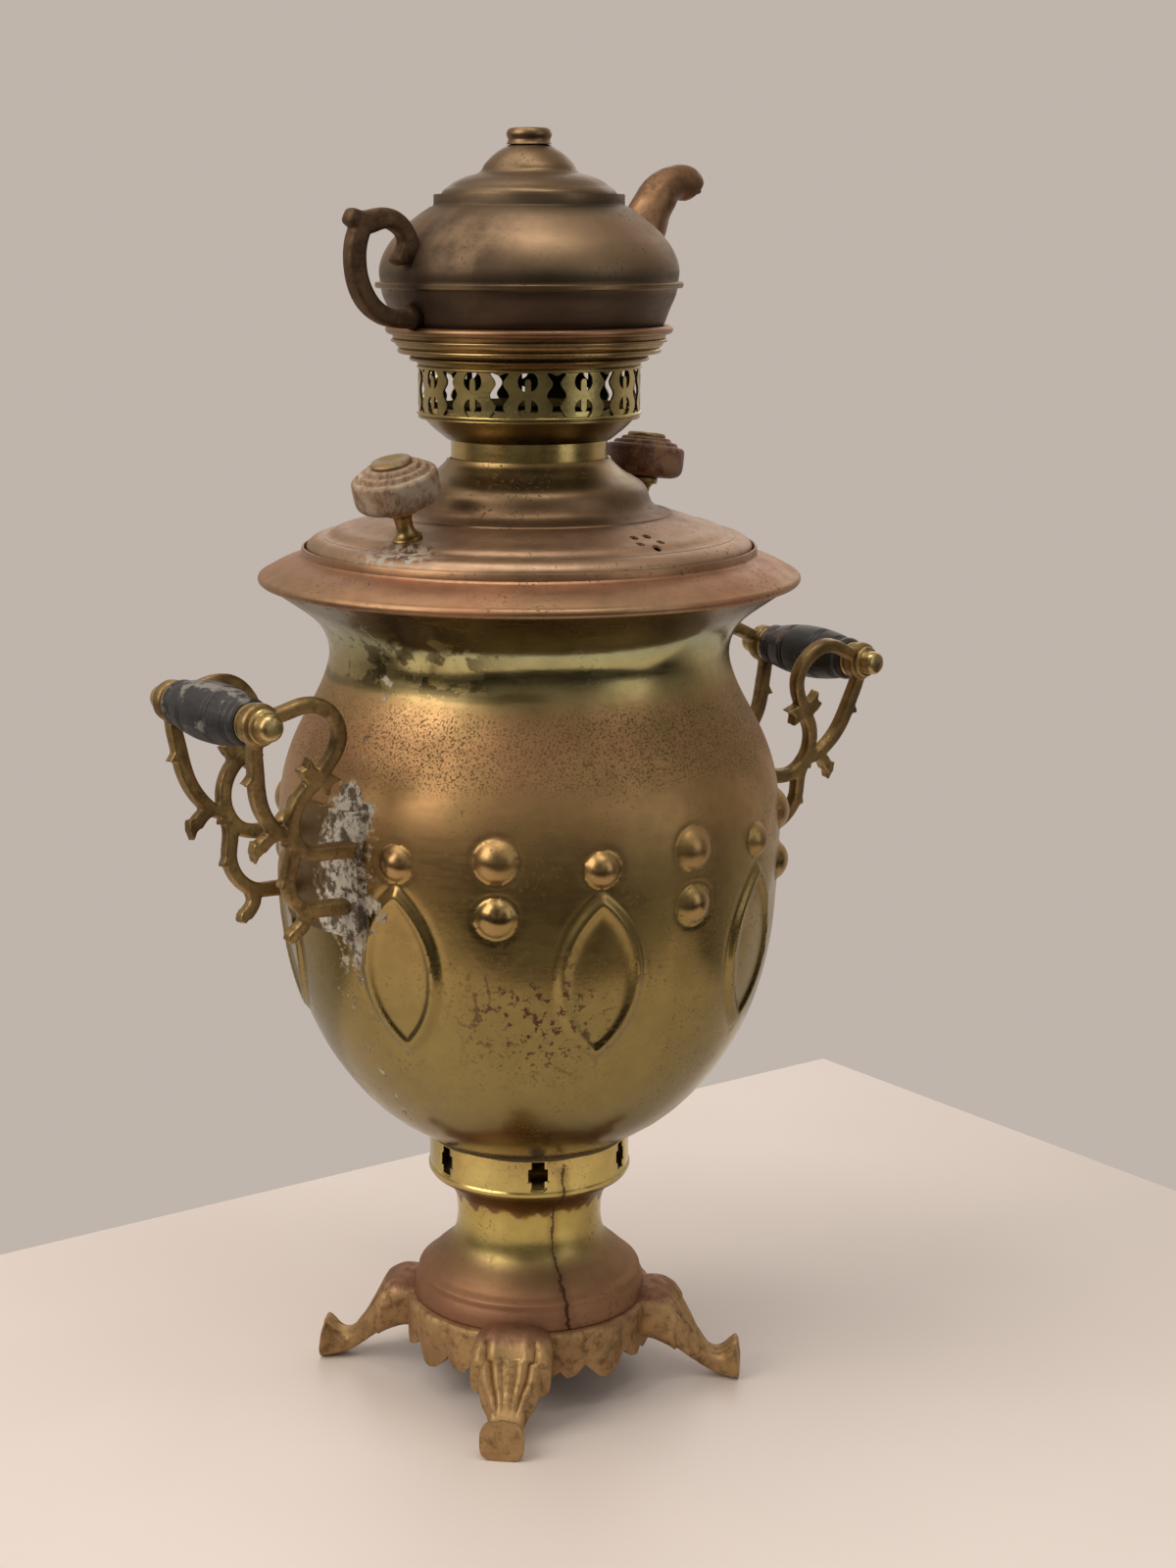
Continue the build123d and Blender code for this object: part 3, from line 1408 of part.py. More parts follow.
with BuildPart() as tap_ring:
    with BuildSketch(Plane.XY.offset(barrel_foot - seat_gap - ring_thickness)):
        with Locations((0, -plug_place)):
            Circle(ring_radius)
            Circle(plug_tail_radius + rod_play, mode=Mode.SUBTRACT)
    extrude(amount=ring_thickness)
    with BuildSketch(Plane(origin=(0, -plug_place, barrel_foot - 0.8 * plug_tail_length), z_dir=(0, 1, 0))):
        Circle(1.0)
    extrude(amount=ring_radius - 1.0, both=True)
write(tap_ring.part, "tap_ring")
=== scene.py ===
"""Samovar with crown and teapot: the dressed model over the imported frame.

Shapes are worked out in millimetres and put into the meshes in metres, in the
frame's own axes: +Z up, the tap towards -Y, the handles on the X axis.
"""

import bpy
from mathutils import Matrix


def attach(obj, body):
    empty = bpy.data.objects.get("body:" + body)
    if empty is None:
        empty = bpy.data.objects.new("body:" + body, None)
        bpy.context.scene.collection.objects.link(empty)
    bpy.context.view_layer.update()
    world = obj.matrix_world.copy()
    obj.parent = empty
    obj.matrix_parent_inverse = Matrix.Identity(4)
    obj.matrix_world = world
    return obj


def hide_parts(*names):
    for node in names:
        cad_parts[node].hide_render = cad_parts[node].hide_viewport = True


bl_info = {
    "name": "Samovar",
    "version": (1, 0, 0),
    "blender": (4, 5, 0),
    "location": "View3D > Sidebar > Samovar",
    "description": "Dresses a charcoal samovar with aged brass, wood and lime",
    "category": "Add Mesh",
}

import bmesh
import bpy
import numpy as np
from bpy.props import FloatProperty, FloatVectorProperty, IntProperty, PointerProperty
from mathutils import Vector
from mathutils.geometry import delaunay_2d_cdt

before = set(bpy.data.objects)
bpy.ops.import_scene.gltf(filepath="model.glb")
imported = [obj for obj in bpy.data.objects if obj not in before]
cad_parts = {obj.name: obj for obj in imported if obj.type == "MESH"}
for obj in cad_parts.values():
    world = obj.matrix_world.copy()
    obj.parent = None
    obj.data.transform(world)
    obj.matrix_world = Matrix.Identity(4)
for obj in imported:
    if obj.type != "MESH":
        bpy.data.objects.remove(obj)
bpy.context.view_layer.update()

MM = 0.001
TURN = 2 * np.pi
SHEET = 1.0  # thickness of the spun sheet, in millimetres

# Heights and radii of the frame, in millimetres.
FOOT_TOP = 40.0
PEDESTAL_TOP = 119.0
VESSEL_BASE = 120.2
VESSEL_TOP = 376.2
LEDGE_TOP = 387.2
LID_LEDGE_BORE = 91.5
LID_BASE = 387.4
GALLERY_BASE = 448.5
CROWN_RING_BASE = 470.1
POT_BASE = 479.9
POT_SEAM = 504.1
HANDLE_HEIGHT = 262.0


# ---------------------------------------------------------------- settings
def length_setting(name, description, default, least):
    return FloatProperty(name=name, description=description, default=default, min=least, unit="LENGTH")


def colour_setting(name, description, default):
    return FloatVectorProperty(
        name=name, description=description, subtype="COLOR", default=default, min=0.0, max=1.0
    )


class SamovarSizes(bpy.types.PropertyGroup):
    """Sizes of the dressed pieces."""

    dome_height: length_setting(
        "Dome height", "How far the embossed domes stand out of the vessel's wall", 0.0044, 0.0
    )
    lens_ridge: length_setting(
        "Lens ridge", "How far the rims of the pointed lenses stand out", 0.0021, 0.0
    )
    scroll_width: length_setting(
        "Scroll width", "Width of the bars of the handles' cast scrolls", 0.0066, 0.001
    )
    flute_depth: length_setting("Flute depth", "Depth of the flutes on the legs", 0.0026, 0.0)
    round_steps: IntProperty(
        name="Steps round",
        description="Facets round each turned piece",
        default=192,
        min=24,
        max=480,
    )


class SamovarColours(bpy.types.PropertyGroup):
    """Colours of the metals and woods."""

    dull_brass: colour_setting("Dull brass", "Brass under an even brown patina", (0.36, 0.22, 0.10))
    copper: colour_setting(
        "Copper bloom", "Brass that has gone pink where the zinc left it", (0.42, 0.20, 0.11)
    )
    dark_patina: colour_setting(
        "Dark patina", "Brown-black tarnish in hollows and specks", (0.050, 0.032, 0.018)
    )
    verdigris: colour_setting("Verdigris", "Green corrosion in crevices", (0.12, 0.17, 0.10))
    lime: colour_setting("Lime", "White scale left by leaking water", (0.56, 0.51, 0.42))
    floor: colour_setting("Floor", "Pale table top", (0.80, 0.715, 0.665))
    wall: colour_setting("Wall", "Pale backdrop", (0.525, 0.46, 0.41))


def sizes():
    return bpy.context.scene.samovar_sizes


def colours():
    return bpy.context.scene.samovar_colours


# ---------------------------------------------------------------- places
def turn(axis, degrees):
    """A 4 x 4 turn about x, y or z, right-handed."""
    c, s = np.cos(np.radians(degrees)), np.sin(np.radians(degrees))
    a, b = {"x": (1, 2), "y": (2, 0), "z": (0, 1)}[axis]
    m = np.eye(4)
    m[a, a], m[a, b], m[b, a], m[b, b] = c, -s, s, c
    return m


def shift(x, y, z):
    """A 4 x 4 move."""
    m = np.eye(4)
    m[:3, 3] = (x, y, z)
    return m


def placed(points, matrix):
    """Each point taken through the matrix."""
    return points @ matrix[:3, :3].T + matrix[:3, 3]


def set_at(shell, matrix):
    """A shell taken through the matrix."""
    points, faces = shell
    return placed(points, matrix), faces


def turned_from(angles, angle):
    """Degrees from one angle to others, between -180 and 180."""
    return (angles - angle + 180) % 360 - 180


def on_circle(radii, degrees, heights):
    """x = r cos a, y = r sin a, z = h, for arrays that broadcast together."""
    a = np.radians(degrees)
    return np.stack([radii * np.cos(a), radii * np.sin(a), heights + 0 * radii * a], axis=-1)


# ---------------------------------------------------------------- lines
def spline(points, count):
    """The natural cubic through the points, with chord length as its parameter.

    Second derivatives m solve the usual three-term system; between two points
    the curve is (m0 g^3 + m1 f^3) / 6w plus the straight line that is left.
    """
    p = np.asarray(points, float)
    t = np.concatenate([[0], np.cumsum(np.linalg.norm(np.diff(p, axis=0), axis=1))])
    h = np.diff(t)
    n = len(p)
    rows = np.arange(1, n - 1)
    system = np.eye(n)
    system[rows, rows - 1] = h[:-1]
    system[rows, rows] = 2 * (h[:-1] + h[1:])
    system[rows, rows + 1] = h[1:]
    slopes = np.diff(p, axis=0) / h[:, None]
    bends = np.zeros_like(p)
    bends[1:-1] = 6 * np.diff(slopes, axis=0)
    m = np.linalg.solve(system, bends)
    s = np.linspace(0, t[-1], count)
    i = np.clip(np.searchsorted(t, s, side="right") - 1, 0, n - 2)
    f, g, w = (s - t[i])[:, None], (t[i + 1] - s)[:, None], h[i][:, None]
    return (m[i] * g**3 + m[i + 1] * f**3) / (6 * w) + (p[i] / w - m[i] * w / 6) * g + (
        p[i + 1] / w - m[i + 1] * w / 6
    ) * f


def bar_line(points, per_mm, least):
    """A spline with so many points to the millimetre, and its share from 0 to 1."""
    count = max(least, int(per_mm * sum(np.hypot(*np.diff(np.array(points), axis=0).T))))
    return spline(points, count), np.linspace(0, 1, count)


def polyline(*points):
    return np.array(points, float)


def spaced(line, step):
    """The same line with points about one step apart, its own points kept."""
    pieces = []
    for start, end in zip(line[:-1], line[1:]):
        count = max(1, int(np.ceil(np.linalg.norm(end - start) / step)))
        pieces.append(start + (end - start) * np.arange(count)[:, None] / count)
    return np.concatenate(pieces + [line[-1:]])


def joined(*lines):
    """Lines set end to end, without the doubled points."""
    line = np.concatenate([np.asarray(part, float) for part in lines])
    apart = np.linalg.norm(np.diff(line, axis=0), axis=1) > 1e-6
    return line[np.concatenate([[True], apart])]


def left_of(line, distance):
    """The line moved to its left: each point plus distance times the unit normal."""
    along = np.gradient(line, axis=0)
    along /= np.linalg.norm(along, axis=1, keepdims=True)
    return line + distance * np.stack([-along[:, 1], along[:, 0]], axis=1)


def sheet_wall(outside):
    """Closed section of a sheet: the outside, and its inside one thickness to the left."""
    return np.concatenate([outside, left_of(outside, SHEET)[::-1]])


def bead(radius, height, size, count=20):
    """Closed round section of a wired edge."""
    a = np.linspace(0, TURN, count, endpoint=False)
    return np.stack([radius + size * np.cos(a), height + size * np.sin(a)], axis=1)


def stretch(form, start, end):
    """Outline points from (share of rise, share of radius) pairs between two ends."""
    form = np.asarray(form, float)
    return np.stack(
        [
            start[0] + (end[0] - start[0]) * form[:, 1],
            start[1] + (end[1] - start[1]) * form[:, 0],
        ],
        axis=1,
    )


# ---------------------------------------------------------------- surfaces
def weave(rows, columns, wrap_rows, wrap_columns, keep=None):
    """Quads of a grid of points, wrapped round where asked, without the cells where keep is false."""
    index = np.arange(rows * columns).reshape(rows, columns)
    ahead = np.roll(index, -1, axis=0)
    quads = np.stack([index, ahead, np.roll(ahead, -1, axis=1), np.roll(index, -1, axis=1)], axis=-1)
    quads = quads if wrap_rows else quads[:-1]
    quads = quads if wrap_columns else quads[:, :-1]
    return quads[keep] if keep is not None else quads.reshape(-1, 4)


def lathe(profile, steps=None, closed=True):
    """x = r cos a, y = r sin a, z = h for each (r, h) of the profile and each angle a."""
    steps = steps or sizes().round_steps
    angles = np.linspace(0, TURN, steps, endpoint=False)[:, None]
    r, h = profile[None, :, 0], profile[None, :, 1]
    grid = np.stack([r * np.cos(angles), r * np.sin(angles), h + 0 * angles], axis=-1)
    return grid, weave(steps, len(profile), True, closed)


def oval(count, width, depth, power=1.0):
    """x = w/2 cos^p, y = d/2 sin^p with signs kept: a circle at p 1, squarer as p falls."""
    a = np.linspace(0, TURN, count, endpoint=False)
    c, s = np.cos(a), np.sin(a)
    return np.stack(
        [width / 2 * np.sign(c) * np.abs(c) ** power, depth / 2 * np.sign(s) * np.abs(s) ** power],
        axis=1,
    )


def swept(path, section, side, scale=None):
    """A section carried along a path: point = path + section.x * across + section.y * side.

    across is the path's direction crossed with side, the fixed direction out of
    the path's plane. scale holds one or two factors for each point of the path.
    Both ends close to a point.
    """
    path = np.asarray(path, float)
    along = np.gradient(path, axis=0)
    along /= np.linalg.norm(along, axis=1, keepdims=True)
    side = np.broadcast_to(np.asarray(side, float), path.shape)
    across = np.cross(side, along)
    across /= np.linalg.norm(across, axis=1, keepdims=True)
    up = np.cross(along, across)
    scale = np.ones((len(path), 2)) if scale is None else np.asarray(scale, float)
    scale = np.repeat(scale[:, None], 2, axis=1) if scale.ndim == 1 else scale
    grid = (
        path[:, None]
        + across[:, None] * (section[None, :, 0] * scale[:, :1])[..., None]
        + up[:, None] * (section[None, :, 1] * scale[:, 1:])[..., None]
    )
    start, end = (np.broadcast_to(path[i], grid[:1].shape) for i in (0, -1))
    grid = np.concatenate([start, grid, end])
    return grid, weave(len(grid), len(section), False, True)


def rounded_ends(count, ends=0.25, least=0.35):
    """Scale along a bar: sqrt(1 - (1 - t)^2) over the first and last share, one between."""
    t = np.linspace(0, 1, count)
    near = np.clip(np.minimum(t, 1 - t) / ends, 0, 1)
    return least + (1 - least) * np.sqrt(1 - (1 - near) ** 2)


def within(points, loop):
    """Even-odd rule: whether a line to a point's right crosses the loop an odd number of times."""
    a, b = loop, np.roll(loop, -1, axis=0)
    x, y = points[:, :1], points[:, 1:]
    spans = (a[:, 1] > y) != (b[:, 1] > y)
    rise = np.where(b[:, 1] == a[:, 1], 1.0, b[:, 1] - a[:, 1])
    crossing = a[:, 0] + (y - a[:, 1]) * (b[:, 0] - a[:, 0]) / rise
    return np.sum(spans & (x < crossing), axis=1) % 2 == 1


def slab(outline, holes, low, high, spacing=3.0, seam=None):
    """A flat plate with holes, as (x, y) outlines between two heights z.

    The face is triangulated with a lattice of extra points inside it, which
    lets it bend afterwards. No wall is made at x = -seam or x = seam, where
    the plate meets its neighbour.
    """
    loops = [np.asarray(outline, float)] + [np.asarray(hole, float) for hole in holes]
    points = np.concatenate(loops)
    edges, first = [], 0
    for loop in loops:
        n = len(loop)
        edges += [(first + i, first + (i + 1) % n) for i in range(n)]
        first += n
    low_corner, high_corner = loops[0].min(axis=0), loops[0].max(axis=0)
    ranges = [np.arange(a + spacing / 2, b, spacing) for a, b in zip(low_corner, high_corner)]
    lattice = np.stack(np.meshgrid(*ranges), axis=-1).reshape(-1, 2)
    clear = np.min(np.linalg.norm(lattice[:, None] - points[None], axis=2), axis=1) > 0.45 * spacing
    lattice = lattice[clear]
    every = np.concatenate([points, lattice])
    flat, _, faces, *_ = delaunay_2d_cdt([Vector(p) for p in every], edges, [], 2, 1e-5)
    flat = np.array([tuple(p) for p in flat])
    faces = np.array(faces)
    middles = flat[faces].mean(axis=1)
    keep = within(middles, loops[0])
    for hole in loops[1:]:
        keep &= ~within(middles, hole)
    faces = faces[keep]
    counts = {}
    for face in faces:
        for a, b in zip(face, np.roll(face, -1)):
            counts[(a, b)] = counts.get((a, b), 0) + 1
    rim = [(a, b) for a, b in counts if (b, a) not in counts]
    if seam is not None:
        inner = np.abs(np.abs(flat[:, 0]) - seam) > 1e-4
        rim = [(a, b) for a, b in rim if inner[a] or inner[b]]
    n = len(flat)
    walls = [(b, a, a + n) for a, b in rim] + [(b, a + n, b + n) for a, b in rim]
    vertices = np.concatenate([np.c_[flat, np.full(n, low)], np.c_[flat, np.full(n, high)]])
    return vertices, np.concatenate([faces[:, ::-1], faces + n, np.array(walls)])


def cad_copy(*nodes):
    """The triangles of CAD nodes, in millimetres, for a piece that is only finished further."""
    shells = []
    for node in nodes:
        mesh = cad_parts[node].data
        points = np.empty(3 * len(mesh.vertices))
        mesh.vertices.foreach_get("co", points)
        corners = np.empty(3 * len(mesh.polygons), dtype=int)
        mesh.polygons.foreach_get("vertices", corners)
        shells.append((points.reshape(-1, 3) / MM, corners.reshape(-1, 3)))
    return shells


def merged_mesh(name, shells, merge, recalculate=True):
    """One mesh in metres from shells in millimetres, with points that meet made one."""
    vertices, faces, first = [], [], 0
    for points, quads in shells:
        points = np.asarray(points, float).reshape(-1, 3)
        vertices.append(points)
        faces += (np.asarray(quads) + first).tolist()
        first += len(points)
    mesh = bpy.data.meshes.new(name)
    mesh.from_pydata((np.concatenate(vertices) * MM).tolist(), [], faces)
    work = bmesh.new()
    work.from_mesh(mesh)
    bmesh.ops.remove_doubles(work, verts=work.verts, dist=merge)
    bmesh.ops.dissolve_degenerate(work, edges=work.edges, dist=1e-6)
    if recalculate:
        bmesh.ops.recalc_face_normals(work, faces=work.faces)
    work.to_mesh(mesh)
    work.free()
    return mesh


def in_scene(name, data):
    """A new object with this data, linked to the scene."""
    obj = bpy.data.objects.new(name, data)
    bpy.context.scene.collection.objects.link(obj)
    return obj


def dress(node, finish):
    """Gives a carried-over CAD node its finish."""
    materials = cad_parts[node].data.materials
    materials.clear()
    materials.append(finish)


def piece(name, shells, body, nodes, finish, crease=35.0, bevel=None, recalculate=True):
    """One object from several shells, merged, shaded, dressed and set to ride on a body."""
    mesh = merged_mesh(name, shells, 2e-6, recalculate)
    mesh.shade_smooth()
    mesh.set_sharp_from_angle(angle=np.radians(crease))
    obj = in_scene(name, mesh)
    if bevel:
        modifier = obj.modifiers.new("worn_edges", "BEVEL")
        modifier.width = bevel * MM
        modifier.segments = 2
        modifier.limit_method = "ANGLE"
        modifier.angle_limit = np.radians(crease)
        modifier.harden_normals = True
    obj.data.materials.append(finish)
    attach(obj, body)
    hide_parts(*nodes)
    return obj


def fused(obj, voxel, rounds=4):
    """Shells of a piece melted into one skin with rounded inner corners, as a casting has."""
    skin = obj.modifiers.new("skin", "REMESH")
    skin.mode = "VOXEL"
    skin.voxel_size = voxel * MM
    skin.use_smooth_shade = True
    soft = obj.modifiers.new("soft", "SMOOTH")
    soft.factor = 0.5
    soft.iterations = rounds
    keep_result(obj)
    return obj


def keep_result(obj):
    """Makes the mesh that the modifiers give the piece's own mesh."""
    bpy.context.view_layer.update()
    result = bpy.data.meshes.new_from_object(obj.evaluated_get(bpy.context.evaluated_depsgraph_get()))
    obj.modifiers.clear()
    obj.data = result


def cut(obj, shells):
    """Takes closed shells out of a piece, and keeps the result as its mesh."""
    cutter = in_scene("bores", merged_mesh("bores", shells, 1e-6))
    modifier = obj.modifiers.new("bores", "BOOLEAN")
    modifier.operation = "DIFFERENCE"
    modifier.object = cutter
    modifier.solver = "EXACT"
    keep_result(obj)
    bpy.data.objects.remove(cutter)


# ---------------------------------------------------------------- materials
class Nodes:
    """A node tree, built node by node. Its noises are looked up at the socket in place."""

    def __init__(self, tree, coordinates):
        self.tree = tree
        self.place = self.add("ShaderNodeTexCoord").outputs[coordinates]

    def add(self, kind, **settings):
        node = self.tree.nodes.new(kind)
        for key, value in settings.items():
            setattr(node, key, value)
        return node

    def feed(self, socket, value):
        if isinstance(value, bpy.types.NodeSocket):
            self.tree.links.new(value, socket)
        elif hasattr(value, "__len__") and len(socket.default_value) == 4 and len(value) == 3:
            socket.default_value = (*value, 1.0)
        else:
            socket.default_value = value

    def math(self, operation, *values, clamp=False):
        node = self.add("ShaderNodeMath", operation=operation, use_clamp=clamp)
        for socket, value in zip(node.inputs, values):
            self.feed(socket, value)
        return node.outputs[0]

    def times(self, first, *others):
        for other in others:
            first = self.math("MULTIPLY", first, other)
        return first

    def plus(self, first, second):
        return self.math("ADD", first, second)

    def less(self, first, second, clamp=False):
        return self.math("SUBTRACT", first, second, clamp=clamp)

    def vector_math(self, operation, *values, output=0):
        node = self.add("ShaderNodeVectorMath", operation=operation)
        for socket, value in zip(node.inputs, values):
            self.feed(socket, value)
        return node.outputs[output]

    def mix(self, share, first, second):
        node = self.add("ShaderNodeMix", data_type="RGBA")
        self.feed(node.inputs[0], share)
        self.feed(node.inputs[6], first)
        self.feed(node.inputs[7], second)
        return node.outputs[2]

    def span(self, value, low, high, start=0.0, end=1.0, smooth=True):
        """value carried from low..high to start..end, and held there outside."""
        node = self.add("ShaderNodeMapRange", interpolation_type="SMOOTHSTEP" if smooth else "LINEAR")
        for socket, number in zip(node.inputs, (value, low, high, start, end)):
            self.feed(socket, number)
        return node.outputs[0]

    def band(self, value, rising, falling):
        """1 between two edges: the product of one span up and one span down."""
        return self.times(self.span(value, *rising), self.span(value, *falling))

    def noise(self, scale, detail=4.0, roughness=0.55, place=None):
        node = self.add("ShaderNodeTexNoise")
        self.feed(node.inputs["Vector"], place or self.place)
        node.inputs["Scale"].default_value = scale
        node.inputs["Detail"].default_value = detail
        node.inputs["Roughness"].default_value = roughness
        return node.outputs[0]

    def sway(self, amount, *noise):
        """A noise about 0: amount times (noise - 0.5)."""
        return self.times(self.less(self.noise(*noise), 0.5), amount)

    def ramp(self, value, stops):
        """Colours between (position, colour) stops, straight lines between them."""
        node = self.add("ShaderNodeValToRGB")
        self.feed(node.inputs[0], value)
        marks = node.color_ramp.elements
        while len(marks) < len(stops):
            marks.new(0.5)
        for mark, (position, colour) in zip(marks, stops):
            mark.position = position
            mark.color = (*colour, 1.0)
        return node.outputs[0]


class Finish(Nodes):
    """A procedural material on Object coordinates.

    The offset moves only the noises, so that two pieces don't share one pattern.
    Heights, angles and distances are measured at the true coordinates.
    """

    def __init__(self, name, offset=(0.0, 0.0, 0.0)):
        self.material = bpy.data.materials.new(name)
        self.material.use_nodes = True
        super().__init__(self.material.node_tree, "Object")
        self.shader = self.tree.nodes["Principled BSDF"]
        self.true_place = self.place
        if any(offset):
            self.place = self.vector_math("ADD", self.place, offset)

    def scaled(self, x, y, z):
        """Object coordinates stretched along each axis."""
        return self.vector_math("MULTIPLY", self.place, (x, y, z))

    def coordinate(self, index):
        """One Object coordinate, in millimetres."""
        node = self.add("ShaderNodeSeparateXYZ")
        self.feed(node.inputs[0], self.true_place)
        return self.times(node.outputs[index], 1000.0)

    def radius(self):
        """Distance from the vertical axis, in millimetres."""
        flat = self.vector_math("MULTIPLY", self.true_place, (1000.0, 1000.0, 0.0))
        return self.vector_math("LENGTH", flat, output=1)

    def height(self):
        return self.coordinate(2)

    def angle(self):
        """Degrees round the vertical axis, from +X through +Y."""
        return self.math("DEGREES", self.math("ARCTAN2", self.coordinate(1), self.coordinate(0)))

    def near(self, centre, radius, soft=0.4):
        """1 within radius of a point, both in millimetres, falling to 0 over the soft share."""
        middle = tuple(MM * value for value in centre)
        away = self.vector_math("DISTANCE", self.true_place, middle, output=1)
        return self.span(away, radius * MM * (1 - soft), radius * MM, 1.0, 0.0)

    def done(self, colour, metallic, roughness, bump=None, strength=0.3, depth=0.3):
        self.feed(self.shader.inputs["Base Color"], colour)
        self.feed(self.shader.inputs["Metallic"], metallic)
        self.feed(self.shader.inputs["Roughness"], roughness)
        if bump is not None:
            node = self.add("ShaderNodeBump")
            node.inputs["Strength"].default_value = strength
            node.inputs["Distance"].default_value = depth * MM
            self.feed(node.inputs["Height"], bump)
            self.feed(self.shader.inputs["Normal"], node.outputs[0])
        return self.material


def aged_brass(
    name, zones, patina=0.45, specks=0.35, grain=0.5, green=0.0, tarnish=None, marks=(), seed=0.0
):
    """Brass under patina.

    zones are (height in mm, colour, roughness), joined by straight lines over a
    height that a slow noise shifts. Clouds of patina, fine specks, pits and
    verdigris lie over them. Marks are functions that take the finish, colour,
    roughness and metallic, and give the last three back changed.
    """
    palette = colours()
    finish = Finish(name, (seed, seed * 0.7, 0.0))
    low, high = zones[0][0], zones[-1][0] + 1e-3
    drift = finish.sway(7.0, 22.0, 3.0)
    rise = finish.span(finish.plus(finish.height(), drift), low, high, smooth=False)
    colour = finish.ramp(rise, [((h - low) / (high - low), c) for h, c, _ in zones])
    gloss = finish.ramp(rise, [((h - low) / (high - low), (r, r, r)) for h, _, r in zones])
    roughness = finish.plus(gloss, 0.0)  # from a colour to one number

    clouds = finish.span(finish.noise(16.0, 6.0, 0.6), 0.44, 0.68)
    veil = finish.times(clouds, patina)
    colour = finish.mix(veil, colour, tarnish or palette.dull_brass)
    roughness = finish.plus(roughness, finish.times(veil, 0.22))

    mottle = finish.span(finish.noise(120.0, 5.0, 0.65), 0.35, 0.7)
    colour = finish.mix(finish.times(mottle, 0.25 * grain), colour, palette.dark_patina)

    crowd = finish.span(finish.noise(34.0, 3.0), 0.42, 0.66)
    pits = finish.span(finish.noise(650.0, 2.0, 0.5), 0.60, 0.68)
    pits = finish.times(pits, finish.times(crowd, specks))
    colour = finish.mix(pits, colour, palette.dark_patina)
    roughness = finish.plus(roughness, finish.times(pits, 0.3))

    scratches = finish.noise(60.0, 8.0, 0.75, finish.scaled(1.0, 1.0, 9.0))
    fine = finish.span(scratches, 0.40, 0.62, -0.5, 0.5)
    roughness = finish.plus(roughness, finish.times(fine, 0.048))

    metallic = finish.less(1.0, finish.times(pits, 0.6))
    if green:
        crust = finish.span(finish.noise(75.0, 6.0, 0.7), 0.56, 0.72)
        crust = finish.times(crust, green)
        colour = finish.mix(crust, colour, palette.verdigris)
        roughness = finish.plus(roughness, finish.times(crust, 0.4))
        metallic = finish.less(metallic, finish.times(crust, 0.9), clamp=True)
    for mark in marks:
        colour, roughness, metallic = mark(finish, colour, roughness, metallic)
    surface = finish.plus(finish.noise(260.0, 5.0, 0.6), finish.times(pits, -1.2))
    return finish.done(
        colour, metallic, finish.math("MINIMUM", roughness, 0.95), surface, 0.25 * grain, 0.35
    )


def rough_cast(name, colour, recess, green=0.35, roughness=0.5, seed=0.0, marks=()):
    """Sand-cast brass: coarse grain, dark recesses and verdigris."""
    palette = colours()
    finish = Finish(name, (seed, 0.0, seed))
    coarse = finish.noise(180.0, 6.0, 0.7)
    sand = finish.noise(900.0, 3.0, 0.6)
    clouds = finish.span(finish.noise(30.0, 5.0, 0.6), 0.38, 0.66)
    tone = finish.mix(finish.times(clouds, 0.75), colour, recess)
    tone = finish.mix(finish.span(coarse, 0.48, 0.68, 0.0, 0.45), tone, palette.dark_patina)
    crust = finish.times(finish.span(finish.noise(55.0, 6.0, 0.7), 0.54, 0.68), green)
    tone = finish.mix(crust, tone, palette.verdigris)
    rough = finish.plus(finish.span(coarse, 0.3, 0.7, roughness - 0.08, roughness + 0.25), 0.0)
    metallic = finish.less(0.95, crust, clamp=True)
    for mark in marks:
        tone, rough, metallic = mark(finish, tone, rough, metallic)
    relief = finish.plus(coarse, finish.times(sand, 0.4))
    return finish.done(tone, metallic, rough, relief, 0.7, 0.5)


def old_wood(name, colour, dark, worn, share, axis=(1.0, 1.0, 0.12), roughness=0.62, seed=0.0):
    """Turned wood: streaks along the grain, and worn places where the finish has gone."""
    finish = Finish(name, (seed, seed, 0.0))
    grain = finish.noise(420.0, 7.0, 0.7, finish.vector_math("MULTIPLY", finish.place, axis))
    tone = finish.mix(finish.span(grain, 0.38, 0.64), colour, dark)
    patch = finish.span(
        finish.plus(finish.noise(70.0, 6.0, 0.65), finish.times(grain, 0.2)), 0.72 - share, 0.8 - share
    )
    tone = finish.mix(patch, tone, worn)
    rough = finish.plus(finish.times(patch, 0.2), roughness)
    return finish.done(tone, 0.0, rough, grain, 0.4, 0.4)


def plain_metal(name, colour, roughness=0.35, dark=0.4, seed=0.0):
    """Turned brass fittings: polished brass under rougher dull brown clouds and dark specks."""
    finish = Finish(name, (seed, 0.0, 0.0))
    clouds = finish.span(finish.noise(110.0, 5.0, 0.65), 0.42, 0.66)
    tone = finish.mix(finish.times(clouds, dark), colour, colours().dull_brass)
    specks = finish.span(finish.noise(700.0, 3.0), 0.60, 0.68, 0.0, 0.6)
    tone = finish.mix(specks, tone, colours().dark_patina)
    rough = finish.plus(finish.times(clouds, 0.2), roughness)
    return finish.done(tone, 1.0, rough, finish.noise(400.0, 4.0), 0.2, 0.2)


# ---------------------------------------------------------------- vessel
BOWL = ((0, 0), (0.1, 0.33), (0.225, 0.58), (0.41, 0.81), (0.66, 0.955), (0.85, 0.993), (1, 1))
SHOULDER = ((0.32, 0.1), (0.48, 0.25), (0.72, 0.63), (0.86, 0.88), (1, 1))
NECK = ((0.26, 0.065), (0.58, 0.3), (0.8, 0.61), (1, 1))
BELLY = (113.3, VESSEL_BASE + 145.0)
THROAT = (91.4, VESSEL_BASE + 218.0)
DOME_COLUMNS = (45, 90, 135, 225, 315)
LENS_ANGLES = tuple(22.5 + 45 * place for place in range(8))
VESSEL_STEPS = 588
VESSEL_INSET = 2.0  # of the plain inner wall, from the wall without its embossing


